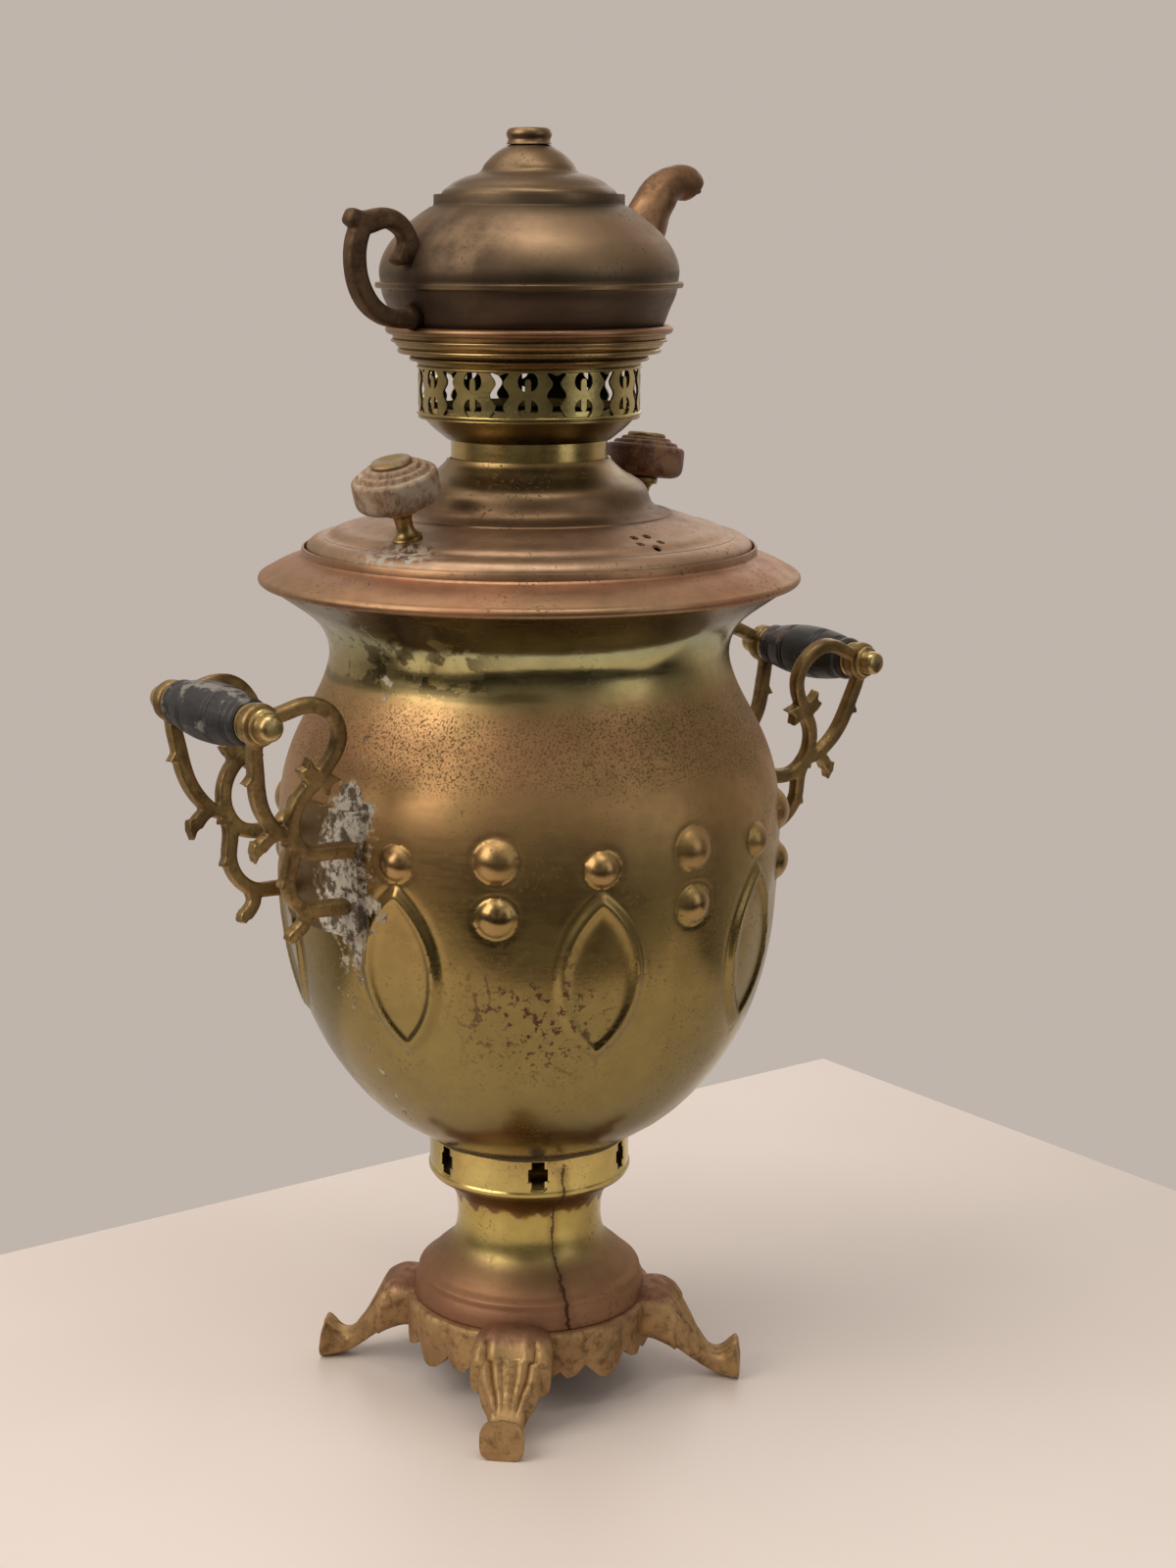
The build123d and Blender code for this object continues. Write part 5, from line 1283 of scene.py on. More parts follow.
def leg_shell():
    """One leg, its foot on the +X side.

    Stations run from knee to toe between the back line B and the under line U;
    round each station, with angle v: across = cos^0.6 v, y = w/2 across, and the
    point is U + (B - U)(1 + sin^0.55 v)/2, drawn down at its sides by the crown
    1 - 0.10 across^2. The upper half is fluted by depth |cos(2.5 pi across)|^0.8,
    which dies away at the ankle, and has claws of cos^2(1.5 pi across) at the toe.
    """
    stations, around = 84, 72
    share = np.linspace(0, 1, stations)
    back, under = spline(LEG_BACK, stations), spline(LEG_UNDER, stations)
    width = np.interp(share, *spline(LEG_WIDTH, 200).T)
    v = np.linspace(0, TURN, around, endpoint=False)
    across = np.sign(np.cos(v)) * np.abs(np.cos(v)) ** 0.6
    rise = (1 + np.sign(np.sin(v)) * np.abs(np.sin(v)) ** 0.55) / 2
    crown = 1.0 - 0.10 * across**2 * np.clip(np.sin(v), 0, 1) ** 0.3
    base = under[:, None] + (back - under)[:, None] * (rise * crown)[None, :, None]
    y = width[:, None] / 2 * across[None]
    upper = np.clip(np.sin(v) * 3, 0, 1)[None]
    fade = np.interp(share, *zip(*LEG_FLUTED))[:, None]
    depth = sizes().flute_depth / MM
    flutes = depth * (np.abs(np.cos(2.5 * np.pi * across)) ** 0.8)[None] * fade * upper
    at_toe = np.interp(share, [0.8, 0.9, 1], [0, 1, 1])[:, None]
    claws = 0.8 * np.cos(1.5 * np.pi * across)[None] ** 2 * at_toe * upper
    normal = left_of(back, 1.0) - back
    base = base + normal[:, None] * (flutes + claws - 0.8 * fade * upper)[..., None]
    grid = np.stack([base[..., 0], y, base[..., 1]], axis=-1)
    toe = grid[-1].copy()
    lip = grid[-1] * np.array([1.0, 0.96, 0.97]) + np.array([1.2, 0.0, 0.3])
    middle = lip.mean(axis=0)
    first = grid[:1].mean(axis=1, keepdims=True)
    ends = [np.broadcast_to(end, (1, around, 3)) for end in (first, middle)]
    rows = np.concatenate([ends[0], grid, (0.35 * toe + 0.65 * lip)[None], ends[1]])
    rows[..., 0] = np.minimum(rows[..., 0], FOOT_REACH)
    rows[..., 2] = np.maximum(rows[..., 2], 0.0)
    return rows, weave(len(rows), around, False, True)


def apron_shell():
    """The top plate and pleated apron, as a ring whose section changes with the angle.

    The skirt stands out by 1.6 |cos 9a|^0.8 in pleats, which fade where the legs
    leave off, and the lower edge follows its table from each leg to the next.
    """
    steps = 480
    angle = np.linspace(0, 360, steps, endpoint=False)
    local = (angle + 45.0) % 90.0 - 45.0
    pleat = np.abs(np.cos(np.radians(local * 9.0)))
    fan = 1.6 * pleat ** 0.8 * np.clip((33.0 - np.abs(local)) / 4, 0, 1)
    lobes = np.interp(np.abs(local), *zip(*APRON_EDGE))
    radii = np.array([34.0, 52.0, 56.6, 57.4, 57.6, 57.2, 57.0, 53.5, 53.5, 53.0, 52.0, 34.0])
    kind = np.array([0, 0, 0.2, 0.5, 0.8, 1.0, 1.0, 0.6, 0.3, 0, 0, 0])
    heights = np.array([40.0, 40.0, 39.9, 39.0, 36.0, 30.0, 0, 0, 30.0, 36.8, 36.5, 36.5])
    r = radii[None] + kind[None] * fan[:, None]
    h = np.where(heights[None] == 0, lobes[:, None], np.maximum(heights[None], lobes[:, None]))
    h = np.where((heights[None] == 0) & (radii[None] < 55), lobes[:, None] + 0.6, h)
    return on_circle(r, angle[:, None], h), weave(steps, len(radii), True, True)


def plate_bloom_and_painted_shade(finish, colour, roughness, metallic):
    """Copper-brown bloom on the plate and on the tops of the legs, and painted shade under the apron."""
    top = finish.times(finish.span(finish.height(), 38.5, 42.0), 0.75)
    colour = finish.mix(top, colour, (0.27, 0.13, 0.09))
    # Painted shade: within the apron and below 37 mm the colour goes to near black brown.
    inside = finish.span(finish.radius(), 57.0, 54.0)
    low = finish.times(inside, finish.span(finish.height(), 37.0, 34.0))
    return finish.mix(low, colour, (0.05, 0.035, 0.025)), roughness, metallic


class SAMOVAR_OT_foot(bpy.types.Operator):
    """Cast the fluted foot with its apron"""

    bl_idname = "samovar.foot"
    bl_label = "Foot"

    def execute(self, context):
        leg = leg_shell()
        shells = [apron_shell()] + [set_at(leg, turn("z", 45.0 + 90.0 * place)) for place in range(4)]
        finish = rough_cast(
            "foot_brass", (0.50, 0.325, 0.15), (0.29, 0.165, 0.08), 0.12, 0.52, marks=(plate_bloom_and_painted_shade,)
        )
        piece("foot", shells, "vessel", ["foot_casting"], finish, crease=60)
        return {"FINISHED"}


# ---------------------------------------------------------------- handles
PLATE_FACE = 3.5
SEAT_OFFSET = 22.8
EYE_OFFSET = 33.5
EYE_OUT = 52.7
EYE_UP = 68.0
HANDLE_LEANS = {"right": -5.2, "left": 5.2}
GRIP_GRAIN = (1, 0.15, 1)  # how close the streaks lie along each axis
SPLAY = float(np.degrees(np.arctan2(EYE_OFFSET - SEAT_OFFSET, EYE_UP)))

# Centre lines of a bracket's bars and the bar's width at each end and in the middle.
SCROLL_LINES = (
    (((52.7, 68.8), (53.3, 60.0), (51.3, 50.0), (49.2, 41.0), (46.1, 33.4), (41.2, 26.8),
      (33.9, 21.5), (29.0, 20.5)),
     (0.9, 1.05, 0.85)),
    (((52.7, 68.8), (48.0, 71.5), (42.2, 73.4), (34.7, 76.0), (24.7, 76.0), (16.7, 70.3),
      (13.2, 62.2), (14.8, 54.6), (20.2, 46.5)),
     (0.9, 1.0, 0.9)),
    (((20.2, 45.0), (26.3, 38.5), (29.4, 31.4), (29.4, 23.3), (27.3, 18.6), (22.4, 13.8),
      (15.9, 12.2), (7.7, 12.4), (-4.5, 12.4)),
     (1.0, 0.95, 1.1)),
    (((28.5, 20.5), (26.9, 11.0), (27.9, 2.5), (26.4, -4.0), (22.0, -9.6), (15.5, -13.0),
      (7.3, -13.2), (-4.5, -13.2)),
     (1.0, 0.9, 1.1)),
    (((18.0, -12.4), (16.3, -17.8), (18.9, -22.0), (21.5, -24.6)), (0.95, 0.85, 0.9)),
    (((33.6, 22.5), (39.5, 20.6), (44.6, 15.2)), (0.7, 0.85, 0.95))
)  # fmt: skip
# Leaves and thorns of a bracket, as outlines.
SCROLL_LEAVES = (
    ((17.6, 43.5), (21.2, 48.5), (23.9, 50.6), (26.9, 54.6), (27.9, 50.2), (31.1, 48.6),
     (28.4, 45.0), (25.2, 42.0)),
    ((22.5, 46.8), (17.1, 48.0), (9.5, 44.6), (14.4, 42.6), (14.9, 37.4), (20.2, 40.6)),
    ((47.6, 18.6), (44.2, 18.4), (41.8, 15.4), (44.3, 13.2), (45.9, 9.6), (47.9, 14.2)),
    ((20.1, -21.2), (18.9, -24.9), (21.6, -27.3), (24.1, -26.5), (24.0, -23.3), (22.4, -21.2)),
    ((49.1, 49.0), (53.5, 47.4), (56.3, 43.4), (52.7, 43.0), (49.9, 40.4)),
    ((29.6, 24.0), (33.4, 24.6), (31.5, 19.6), (32.6, 15.2), (28.4, 17.2), (25.4, 19.6)),
    ((26.8, 3.4), (30.6, 2.0), (32.2, -2.2), (28.9, -2.6), (26.3, -4.6))
)  # fmt: skip


def handle_frame(side):
    """The middle of a saddle plate's face: x outwards, z up, leaning as the bracket does."""
    about = 180.0 if side == "left" else 0.0
    seat = vessel_radius(HANDLE_HEIGHT) + PLATE_FACE
    return turn("z", about) @ shift(seat, 0, HANDLE_HEIGHT) @ turn("y", HANDLE_LEANS[side])


def rod_frame(side):
    """The middle of a handle's rod, with z along the rod."""
    return handle_frame(side) @ shift(EYE_OUT, 0, EYE_UP) @ turn("x", -90.0)


def scroll_shells(side, tilt):
    """The bars of one bracket, each a flat section carried along its line, and its leaves."""
    plane = handle_frame(side) @ shift(0, tilt * SEAT_OFFSET, 0) @ turn("x", 90.0 - tilt * SPLAY)
    width = sizes().scroll_width / MM
    section = oval(24, width, 5.8, 0.45)
    shells = []
    for points, widths in SCROLL_LINES:
        line, share = bar_line(points, 1.2, 16)
        count = len(line)
        scale = np.interp(share, [0, 0.5, 1], widths) * rounded_ends(count, 2.0 / count)
        scales = np.stack([scale, np.ones(count)], axis=1)
        shells.append(swept(np.c_[line, np.zeros(count)], section, (0.0, 0.0, 1.0), scales))
    shells += [slab(outline, [], -2.7, 2.7, 2.0) for outline in SCROLL_LEAVES]
    return [set_at(shell, plane) for shell in shells]


def eye_boss(side, tilt):
    """The eye round the rod, with its rounded rim and bored middle."""
    ring = spline(
        [(2.6, -3.45), (6.8, -3.4), (8.6, -2.6), (9.0, 0.0), (8.6, 2.6), (6.8, 3.4), (2.6, 3.45)], 28
    )
    return set_at(lathe(ring, 48), rod_frame(side) @ shift(0, 0, tilt * EYE_OFFSET))


def grip_profile():
    """A turned grip with two pairs of grooves and end beads.

    With t the share of the half length from the middle, r = 9 + 3.6 cos(pi/2 t^1.15)^1.2.
    """
    half = 28.0
    h = np.linspace(-half + 0.1, half - 0.1, 140)
    t = np.abs(h) / half
    r = 9.0 + 3.6 * np.cos(np.pi / 2 * t**1.15) ** 1.2
    for groove, deep, wide in ((9.0, 0.7, 0.55), (11.2, 0.5, 0.5), (20.5, 0.7, 0.6), (22.5, 0.5, 0.5)):
        r = r - deep * np.exp(-(((np.abs(h) - groove) / wide) ** 2))
    r = r + 0.7 * np.exp(-(((np.abs(h) - 25.8) / 1.6) ** 2))
    r = r * np.clip(1 - ((t - 0.97) / 0.03).clip(0) * 0.06, 0, 1)
    return joined(polyline((2.6, -half + 0.1)), np.stack([r, h], axis=1), polyline((2.6, half - 0.1)))


def nut_profile():
    """A cap nut beside its eye: a washer-like foot, a straight barrel and a domed end."""
    return joined(
        polyline((0.0, 37.1), (7.0, 37.1), (7.3, 37.5), (7.3, 38.4), (6.9, 38.8), (5.7, 39.0)),
        spline([(5.6, 39.4), (5.5, 41.5), (5.5, 43.0), (5.2, 44.0), (4.4, 44.9)], 12),
        spline([(4.2, 45.0), (2.6, 45.3), (0.0, 45.4)], 6),
    )


def washer_profile():
    return polyline((2.6, 28.1), (7.8, 28.1), (8.4, 28.5), (8.4, 29.5), (7.8, 29.9), (2.6, 29.9))


class SAMOVAR_OT_handles(bpy.types.Operator):
    """Cast the scroll brackets and turn the grips, washers and cap nuts"""

    bl_idname = "samovar.handles"
    bl_label = "Handles"

    def execute(self, context):
        cast = rough_cast("handle_brass", (0.36, 0.24, 0.095), (0.12, 0.07, 0.032), 0.04, 0.36, 4.0)
        plate = aged_brass(
            "plate_brass",
            [(230.0, (0.22, 0.15, 0.07), 0.45), (295.0, (0.26, 0.17, 0.08), 0.45)],
            patina=0.8,
            specks=0.8,
            tarnish=(0.09, 0.06, 0.035),
            marks=(lime_crust,),
        )
        turned = plain_metal("handle_fitting", (0.56, 0.42, 0.18), 0.28, 0.45, 3.0)
        black = ((0.026, 0.021, 0.021), (0.010, 0.009, 0.009), (0.20, 0.18, 0.155))
        brown_black = ((0.024, 0.020, 0.018), (0.010, 0.009, 0.009), (0.12, 0.08, 0.06))
        woods = {
            "right": old_wood("right_grip", *black, 0.075, GRIP_GRAIN, 0.55, 2.0),
            "left": old_wood("left_grip", *brown_black, 0.08, GRIP_GRAIN, 0.45, 6.0),
        }
        for side in HANDLE_LEANS:
            name = f"handle_plate_{side}"
            piece(f"saddle_{side}", cad_copy(name), "vessel", [name], plate, bevel=0.8)
            for end, sign in (("front", -1), ("back", 1)):
                tilt = -sign if side == "left" else sign
                shells = scroll_shells(side, tilt) + [eye_boss(side, tilt)]
                name = f"handle_scroll_{side}_{end}"
                fused(
                    piece(f"scroll_{side}_{end}", shells, "vessel", [name], cast),
                    0.55,
                )
            rod = rod_frame(side)
            shells = [set_at(lathe(grip_profile(), 72), rod)]
            piece(f"grip_{side}", shells, "vessel", [f"handle_grip_{side}"], woods[side])
            pairs = {"washers": (washer_profile(), True), "nuts": (nut_profile(), False)}
            for kind, (profile, closed) in pairs.items():
                ring = lathe(profile, 48, closed)
                shells = [set_at(ring, rod), set_at(ring, rod @ turn("x", 180.0))]
                name = f"handle_{kind}_{side}"
                piece(f"{kind}_{side}", shells, "vessel", [name], turned)
            dress(f"handle_rod_{side}", turned)
        return {"FINISHED"}


# ---------------------------------------------------------------- tap
class SAMOVAR_OT_tap(bpy.types.Operator):
    """Dress the tap, its rosette, plug and key"""

    bl_idname = "samovar.tap"
    bl_label = "Tap"

    def execute(self, context):
        finish = plain_metal("tap_brass", (0.52, 0.38, 0.15), 0.3, 0.6, 1.0)
        pieces = {
            "tap_rosette": ("rosette", "vessel", 0.6),
            "tap_body": ("tap", "vessel", 0.5),
            "tap_key": ("tap_plug_key", "tap_plug", 0.7),
            "tap_ring": ("tap_plug_ring", "tap_plug", 0.3),
        }
        for node, (name, body, edge) in pieces.items():
            piece(name, cad_copy(node), body, [node], finish, bevel=edge)
        return {"FINISHED"}


# ---------------------------------------------------------------- crown
def dark_inside(finish, colour, roughness, metallic):
    """The inside of the gallery, made near black, rough and not metallic."""
    black = finish.span(finish.radius(), 48.1, 47.8)
    colour = finish.mix(black, colour, (0.022, 0.018, 0.014))
    roughness = finish.plus(roughness, finish.times(black, 0.5))
    return colour, roughness, finish.less(metallic, black, clamp=True)


def crown_finish(name, seed=0.0, marks=()):
    return aged_brass(
        name,
        [
            (437.0, (0.22, 0.155, 0.065), 0.26),
            (447.0, (0.27, 0.20, 0.085), 0.24),
            (450.0, (0.56, 0.45, 0.18), 0.24),
            (469.0, (0.50, 0.39, 0.15), 0.24),
            (471.5, (0.25, 0.175, 0.075), 0.28),
            (477.0, (0.38, 0.265, 0.115), 0.28),
            (483.5, (0.30, 0.19, 0.09), 0.32),
            (484.5, (0.36, 0.19, 0.10), 0.40),
            (488.0, (0.34, 0.18, 0.10), 0.42),
        ],
        patina=0.5,
        specks=0.4,
        grain=0.6,
        tarnish=(0.30, 0.20, 0.08),
        marks=marks,
        seed=seed,
    )


FIGURES = tuple(range(-6, 6))
FIGURE_PITCH = 29.0
FIGURE_FIRST = 51.4
GALLERY_RADIUS = 48.0  # to the middle of the sheet
GALLERY_HALF = 10.8  # half the band's height


def fret_holes():
    """The openings of the pierced band laid flat, x round it and y up from its middle.

    A slot's half width is 3 + 1.25 cos(2 pi t) for t from -1 to 1 over its
    height, and a notch stands into each end. An eye is a circle with a tongue
    from the waist whose end is an arc. One place, at the back, is left plain
    for the seam.
    """
    pitch = np.radians(FIGURE_PITCH) * GALLERY_RADIUS
    a = np.linspace(-np.pi / 2 + 0.32, 1.5 * np.pi - 0.32, 40)
    b = np.linspace(np.pi + 0.1, -0.1, 14)
    ring = np.stack([4.3 * np.cos(a), 5.7 + 4.3 * np.sin(a)], axis=1)
    tongue = np.stack([1.25 * np.cos(b), 5.6 + 1.25 * np.sin(b)], axis=1)
    eye = np.concatenate([ring, tongue])
    t = np.linspace(-1, 1, 41)
    side = np.stack([3.0 + 1.25 * np.cos(TURN * t), 9.9 * t], axis=1)
    slot = np.concatenate([side, [[0.0, 8.2]], side[::-1] * [-1, 1], [[0.0, -8.2]]])
    holes = [eye * [1, sign] + [pitch * place, 0] for place in FIGURES for sign in (1, -1)]
    return holes + [slot + [pitch * (place + 0.5), 0] for place in FIGURES[:-1]]


class SAMOVAR_OT_crown(bpy.types.Operator):
    """Spin the crown's cup and seat ring, and pierce its gallery"""

    bl_idname = "samovar.crown"
    bl_label = "Crown"

    def execute(self, context):
        bowl = spline(
            [(35.9, 437.8), (38.2, 439.6), (41.7, 442.4), (44.0, 444.6), (45.9, 446.7), (47.0, 447.8)], 30
        )
        bowl = joined(polyline((34.9, 437.8)), bowl)
        rim = joined(
            spline([(47.6, 447.0), (48.4, 447.2), (48.7, 447.8), (48.3, 448.4)], 8),
            polyline((47.4, 448.6), (47.4, 452.3), (46.4, 452.3), (46.4, 448.2)),
        )
        inside = left_of(bowl[1:], SHEET)[::-1]
        cup = joined(
            bowl, rim, inside,
            polyline((35.8, 440.5), (35.8, 447.4), (29.0, 447.4), (29.0, 446.3), (34.8, 446.3)),
        )
        nodes = ["crown_cup", "crown_floor_plate"]
        piece("crown_bowl", [lathe(cup)], "crown", nodes, crown_finish("cup_brass", 2.0))

        half = TURN * GALLERY_RADIUS / 2
        along = np.linspace(-half, half, 160)
        below = np.full(len(along), -GALLERY_HALF)
        outline = np.concatenate([np.c_[along, below], np.c_[along[::-1], -below]])
        flat, faces = slab(outline, fret_holes(), 0.0, 1.0, 2.2, seam=half)
        angle = np.radians(FIGURE_FIRST) + flat[:, 0] / GALLERY_RADIUS
        radius = GALLERY_RADIUS - 0.5 + flat[:, 2]
        height = flat[:, 1] + GALLERY_BASE + GALLERY_HALF
        band = np.stack([radius * np.cos(angle), radius * np.sin(angle), height], axis=1)
        edges = (GALLERY_BASE + 0.9, CROWN_RING_BASE - 0.8)
        shells = [(band, faces)] + [lathe(bead(48.5, height, 0.7, 12)) for height in edges]
        gallery = crown_finish("gallery_brass", 4.0, marks=(dark_inside,))
        piece("crown_fret", shells, "crown", ["crown_gallery"], gallery)

        flare = spline(
            [
                (48.5, 470.2), (50.0, 472.3), (52.5, 474.4), (55.2, 476.5), (58.2, 478.6),
                (59.0, 480.7), (59.6, 482.6), (60.0, 484.0),
            ],
            44,
        )
        round_edge = bead(60.7, 485.1, 1.9)
        ring = sheet_wall(flare)
        spigot = polyline(
            (46.4, 468.5), (47.4, 468.5), (47.4, 470.1), (48.4, 470.2), (48.6, 471.2), (46.4, 471.2)
        )
        ledge = polyline((49.0, 478.7), (58.2, 478.7), (58.2, 479.7), (49.0, 479.7))
        tiers = [bead(51.4, 472.7, 0.9, 16), bead(56.2, 476.2, 1.3, 20), bead(59.5, 480.6, 0.8, 16)]
        shells = [lathe(section) for section in (ring, round_edge, spigot, ledge, *tiers)]
        seat = crown_finish("seat_brass", 6.0)
        piece("crown_seat", shells, "crown", ["crown_top_ring"], seat)
        return {"FINISHED"}


# ---------------------------------------------------------------- teapot
def pot_finish(name="pot_brass", seed=0.0):
    def brown_cheek(finish, colour, roughness, metallic):
        """The cheek by the handle made darker and duller brown, in cloudy patches."""
        cheek = finish.near((62.0, 20.0, 514.0), 44.0, 0.6)
        bloom = finish.times(cheek, finish.span(finish.noise(60.0, 5.0), 0.36, 0.62, 0.55, 0.95))
        colour = finish.mix(bloom, colour, (0.085, 0.056, 0.038))
        return colour, finish.plus(roughness, finish.times(bloom, 0.12)), metallic

    return aged_brass(
        name,
        [
            (480.0, (0.12, 0.08, 0.055), 0.46),
            (500.0, (0.15, 0.10, 0.068), 0.44),
            (504.0, (0.24, 0.16, 0.08), 0.36),
            (508.0, (0.13, 0.095, 0.06), 0.48),
            (514.0, (0.23, 0.155, 0.09), 0.50),
            (524.0, (0.31, 0.205, 0.12), 0.48),
            (533.0, (0.28, 0.185, 0.11), 0.48),
            (536.5, (0.14, 0.10, 0.06), 0.44),
            (538.5, (0.07, 0.05, 0.035), 0.50),
            (541.0, (0.13, 0.09, 0.05), 0.42),
            (543.0, (0.19, 0.125, 0.07), 0.34),
            (552.0, (0.22, 0.145, 0.08), 0.40),
            (570.0, (0.27, 0.17, 0.09), 0.38),
        ],
        patina=0.6,
        specks=0.55,
        grain=0.5,
        tarnish=(0.13, 0.09, 0.055),
        marks=(brown_cheek,),
        seed=seed,
    )


def upper_outline():
    """Outside of the teapot's upper half, from the flange to the lid's opening."""
    return spline(
        [(64.6, 506.0), (65.0, 509.6), (64.3, 513.8), (62.4, 518.4), (59.3, 523.0), (55.2, 527.4),
         (50.6, 531.4), (46.2, 534.6), (42.8, 536.8)],
        90,
    )  # fmt: skip


class SAMOVAR_OT_teapot(bpy.types.Operator):
    """Spin both halves of the teapot"""

    bl_idname = "samovar.teapot"
    bl_label = "Teapot"

    def execute(self, context):
        finish = pot_finish()
        low = spline(
            [
                (53.0, 480.1), (55.2, 481.4), (56.6, 483.8), (58.5, 487.0), (60.0, 490.8),
                (62.0, 495.8), (63.7, 500.0), (64.2, 502.4),
            ],
            50,
        )
        flange = polyline((64.6, 502.8), (66.3, 502.8), (66.8, 503.2), (66.8, 504.1))
        inside = left_of(low, SHEET)[::-1]
        lower = joined(
            polyline((0.0, POT_BASE), (52.0, POT_BASE)),
            low,
            flange,
            polyline((63.0, POT_SEAM)),
            inside,
            polyline((52.0, POT_BASE + SHEET), (0.0, POT_BASE + SHEET)),
        )
        shells = [lathe(lower, closed=False)]
        piece("pot_lower", shells, "teapot", ["teapot_lower_shell"], finish)

        outside = upper_outline()
        upper = joined(
            polyline(
                (62.5, 504.15), (66.8, 504.15), (66.8, 504.9), (66.3, 505.3), (65.2, 505.3),
                (64.6, 505.6),
            ),
            outside,
            polyline((41.5, 537.0), (41.2, 537.5), (41.2, 541.6), (41.0, 542.1), (40.4, 542.1)),
            polyline((40.2, 541.6), (40.2, 539.7), (36.0, 539.7), (36.0, 538.7), (40.2, 538.7)),
            left_of(outside, SHEET)[::-1][6:],
        )
        nodes = ["teapot_upper_shell", "teapot_mouth_ring"]
        piece("pot_upper", [lathe(upper)], "teapot", nodes, finish)
        return {"FINISHED"}


# Spout stations: distance from the axis, rise above the seam, radius.
SPOUT = (
    (55.5, 7.0, 10.0), (60.5, 15.0, 10.6), (64.5, 23.5, 10.4), (68.6, 31.5, 9.8), (73.0, 37.6, 9.0),
    (77.5, 41.6, 8.2), (82.5, 43.6, 7.8), (87.5, 43.8, 7.8), (91.2, 42.4, 7.6), (93.2, 40.8, 6.8)
)  # fmt: skip


def spout_shells():
    """The swan neck, a circle carried along its stations, flattened a little at the sides."""
    stations = spline(SPOUT, 64)
    count = len(stations)
    path = np.stack([-stations[:, 0], np.zeros(count), POT_SEAM + stations[:, 1]], axis=1)
    section = oval(32, 2.0, 1.9)
    scale = stations[:, 2] * (1 + 0.025 * np.sin(np.linspace(0, 22, count)))
    neck = swept(path, section, (0.0, 1.0, 0.0), scale)
    spur = spline([(93.0, 42.6), (95.4, 41.4), (97.6, 39.6)], 12)
    path = np.stack([-spur[:, 0], np.zeros(len(spur)), POT_SEAM + spur[:, 1]], axis=1)
    taper = np.linspace(1.0, 0.45, len(spur))
    return [neck, swept(path, oval(16, 5.4, 6.4), (0.0, 1.0, 0.0), taper)]


class SAMOVAR_OT_teapot_castings(bpy.types.Operator):
    """Cast the teapot's handle and its spout"""

    bl_idname = "samovar.teapot_castings"
    bl_label = "Teapot handle and spout"

    def execute(self, context):
        dark = rough_cast("pot_cast", (0.15, 0.09, 0.05), (0.06, 0.035, 0.022), 0.05, 0.5, 3.0)
        red = rough_cast("spout_cast", (0.30, 0.17, 0.09), (0.14, 0.07, 0.035), 0.02, 0.38, 8.0)
        piece("pot_spout", spout_shells(), "teapot", ["teapot_spout"], red, crease=60)
        lines = (
            (((66.6, 11.2), (64.2, 16.5), (65.6, 21.8), (69.6, 25.8), (75.0, 27.8), (80.5, 27.2),
              (86.5, 26.2), (91.0, 27.6), (95.0, 29.6)),
             (1.35, 1.0, 1.1, 1.3, 0.9)),
            (((86.6, 26.6), (90.0, 19.0), (90.9, 10.5), (89.0, 0.8), (84.6, -6.4), (78.5, -11.0),
              (71.0, -13.2), (62.5, -13.0), (56.0, -12.0)),
             (1.1, 1.2, 1.15, 1.0, 1.2)),
            (((66.5, 15.5), (62.5, 15.6), (57.5, 15.8)), (0.8, 0.9, 1.2)),
            (((66.0, 12.5), (69.5, 11.0), (71.5, 9.2)), (1.0, 0.8, 0.4))
        )  # fmt: skip
        shells = []
        section = oval(24, 7.6, 8.2, 0.55)
        for points, widths in lines:
            line, share = bar_line(points, 1.1, 14)
            count = len(line)
            ends = rounded_ends(count, 2.5 / count)
            wide = np.interp(share, np.linspace(0, 1, len(widths)), widths) * ends
            thick = (0.95 + 0.05 * np.sin(share * 17.0)) * ends
            path = np.stack([line[:, 0], np.zeros(count), POT_SEAM + line[:, 1]], axis=1)
            shells.append(swept(path, section, (0.0, 1.0, 0.0), np.stack([wide, thick], axis=1)))
        for out, up, size in ((63.0, -12.6, 5.6), (62.5, 15.8, 4.2)):
            wide, tall = size * 0.8, size * 0.55
            blob = spline([(0.0, -size), (wide, -tall), (size, 0.0), (wide, tall), (0.0, size)], 14)
            shells.append(set_at(lathe(blob, 24, closed=False), shift(out, 0.0, POT_SEAM + up)))
        fused(piece("pot_handle", shells, "teapot", ["teapot_handle"], dark), 0.5)
        return {"FINISHED"}


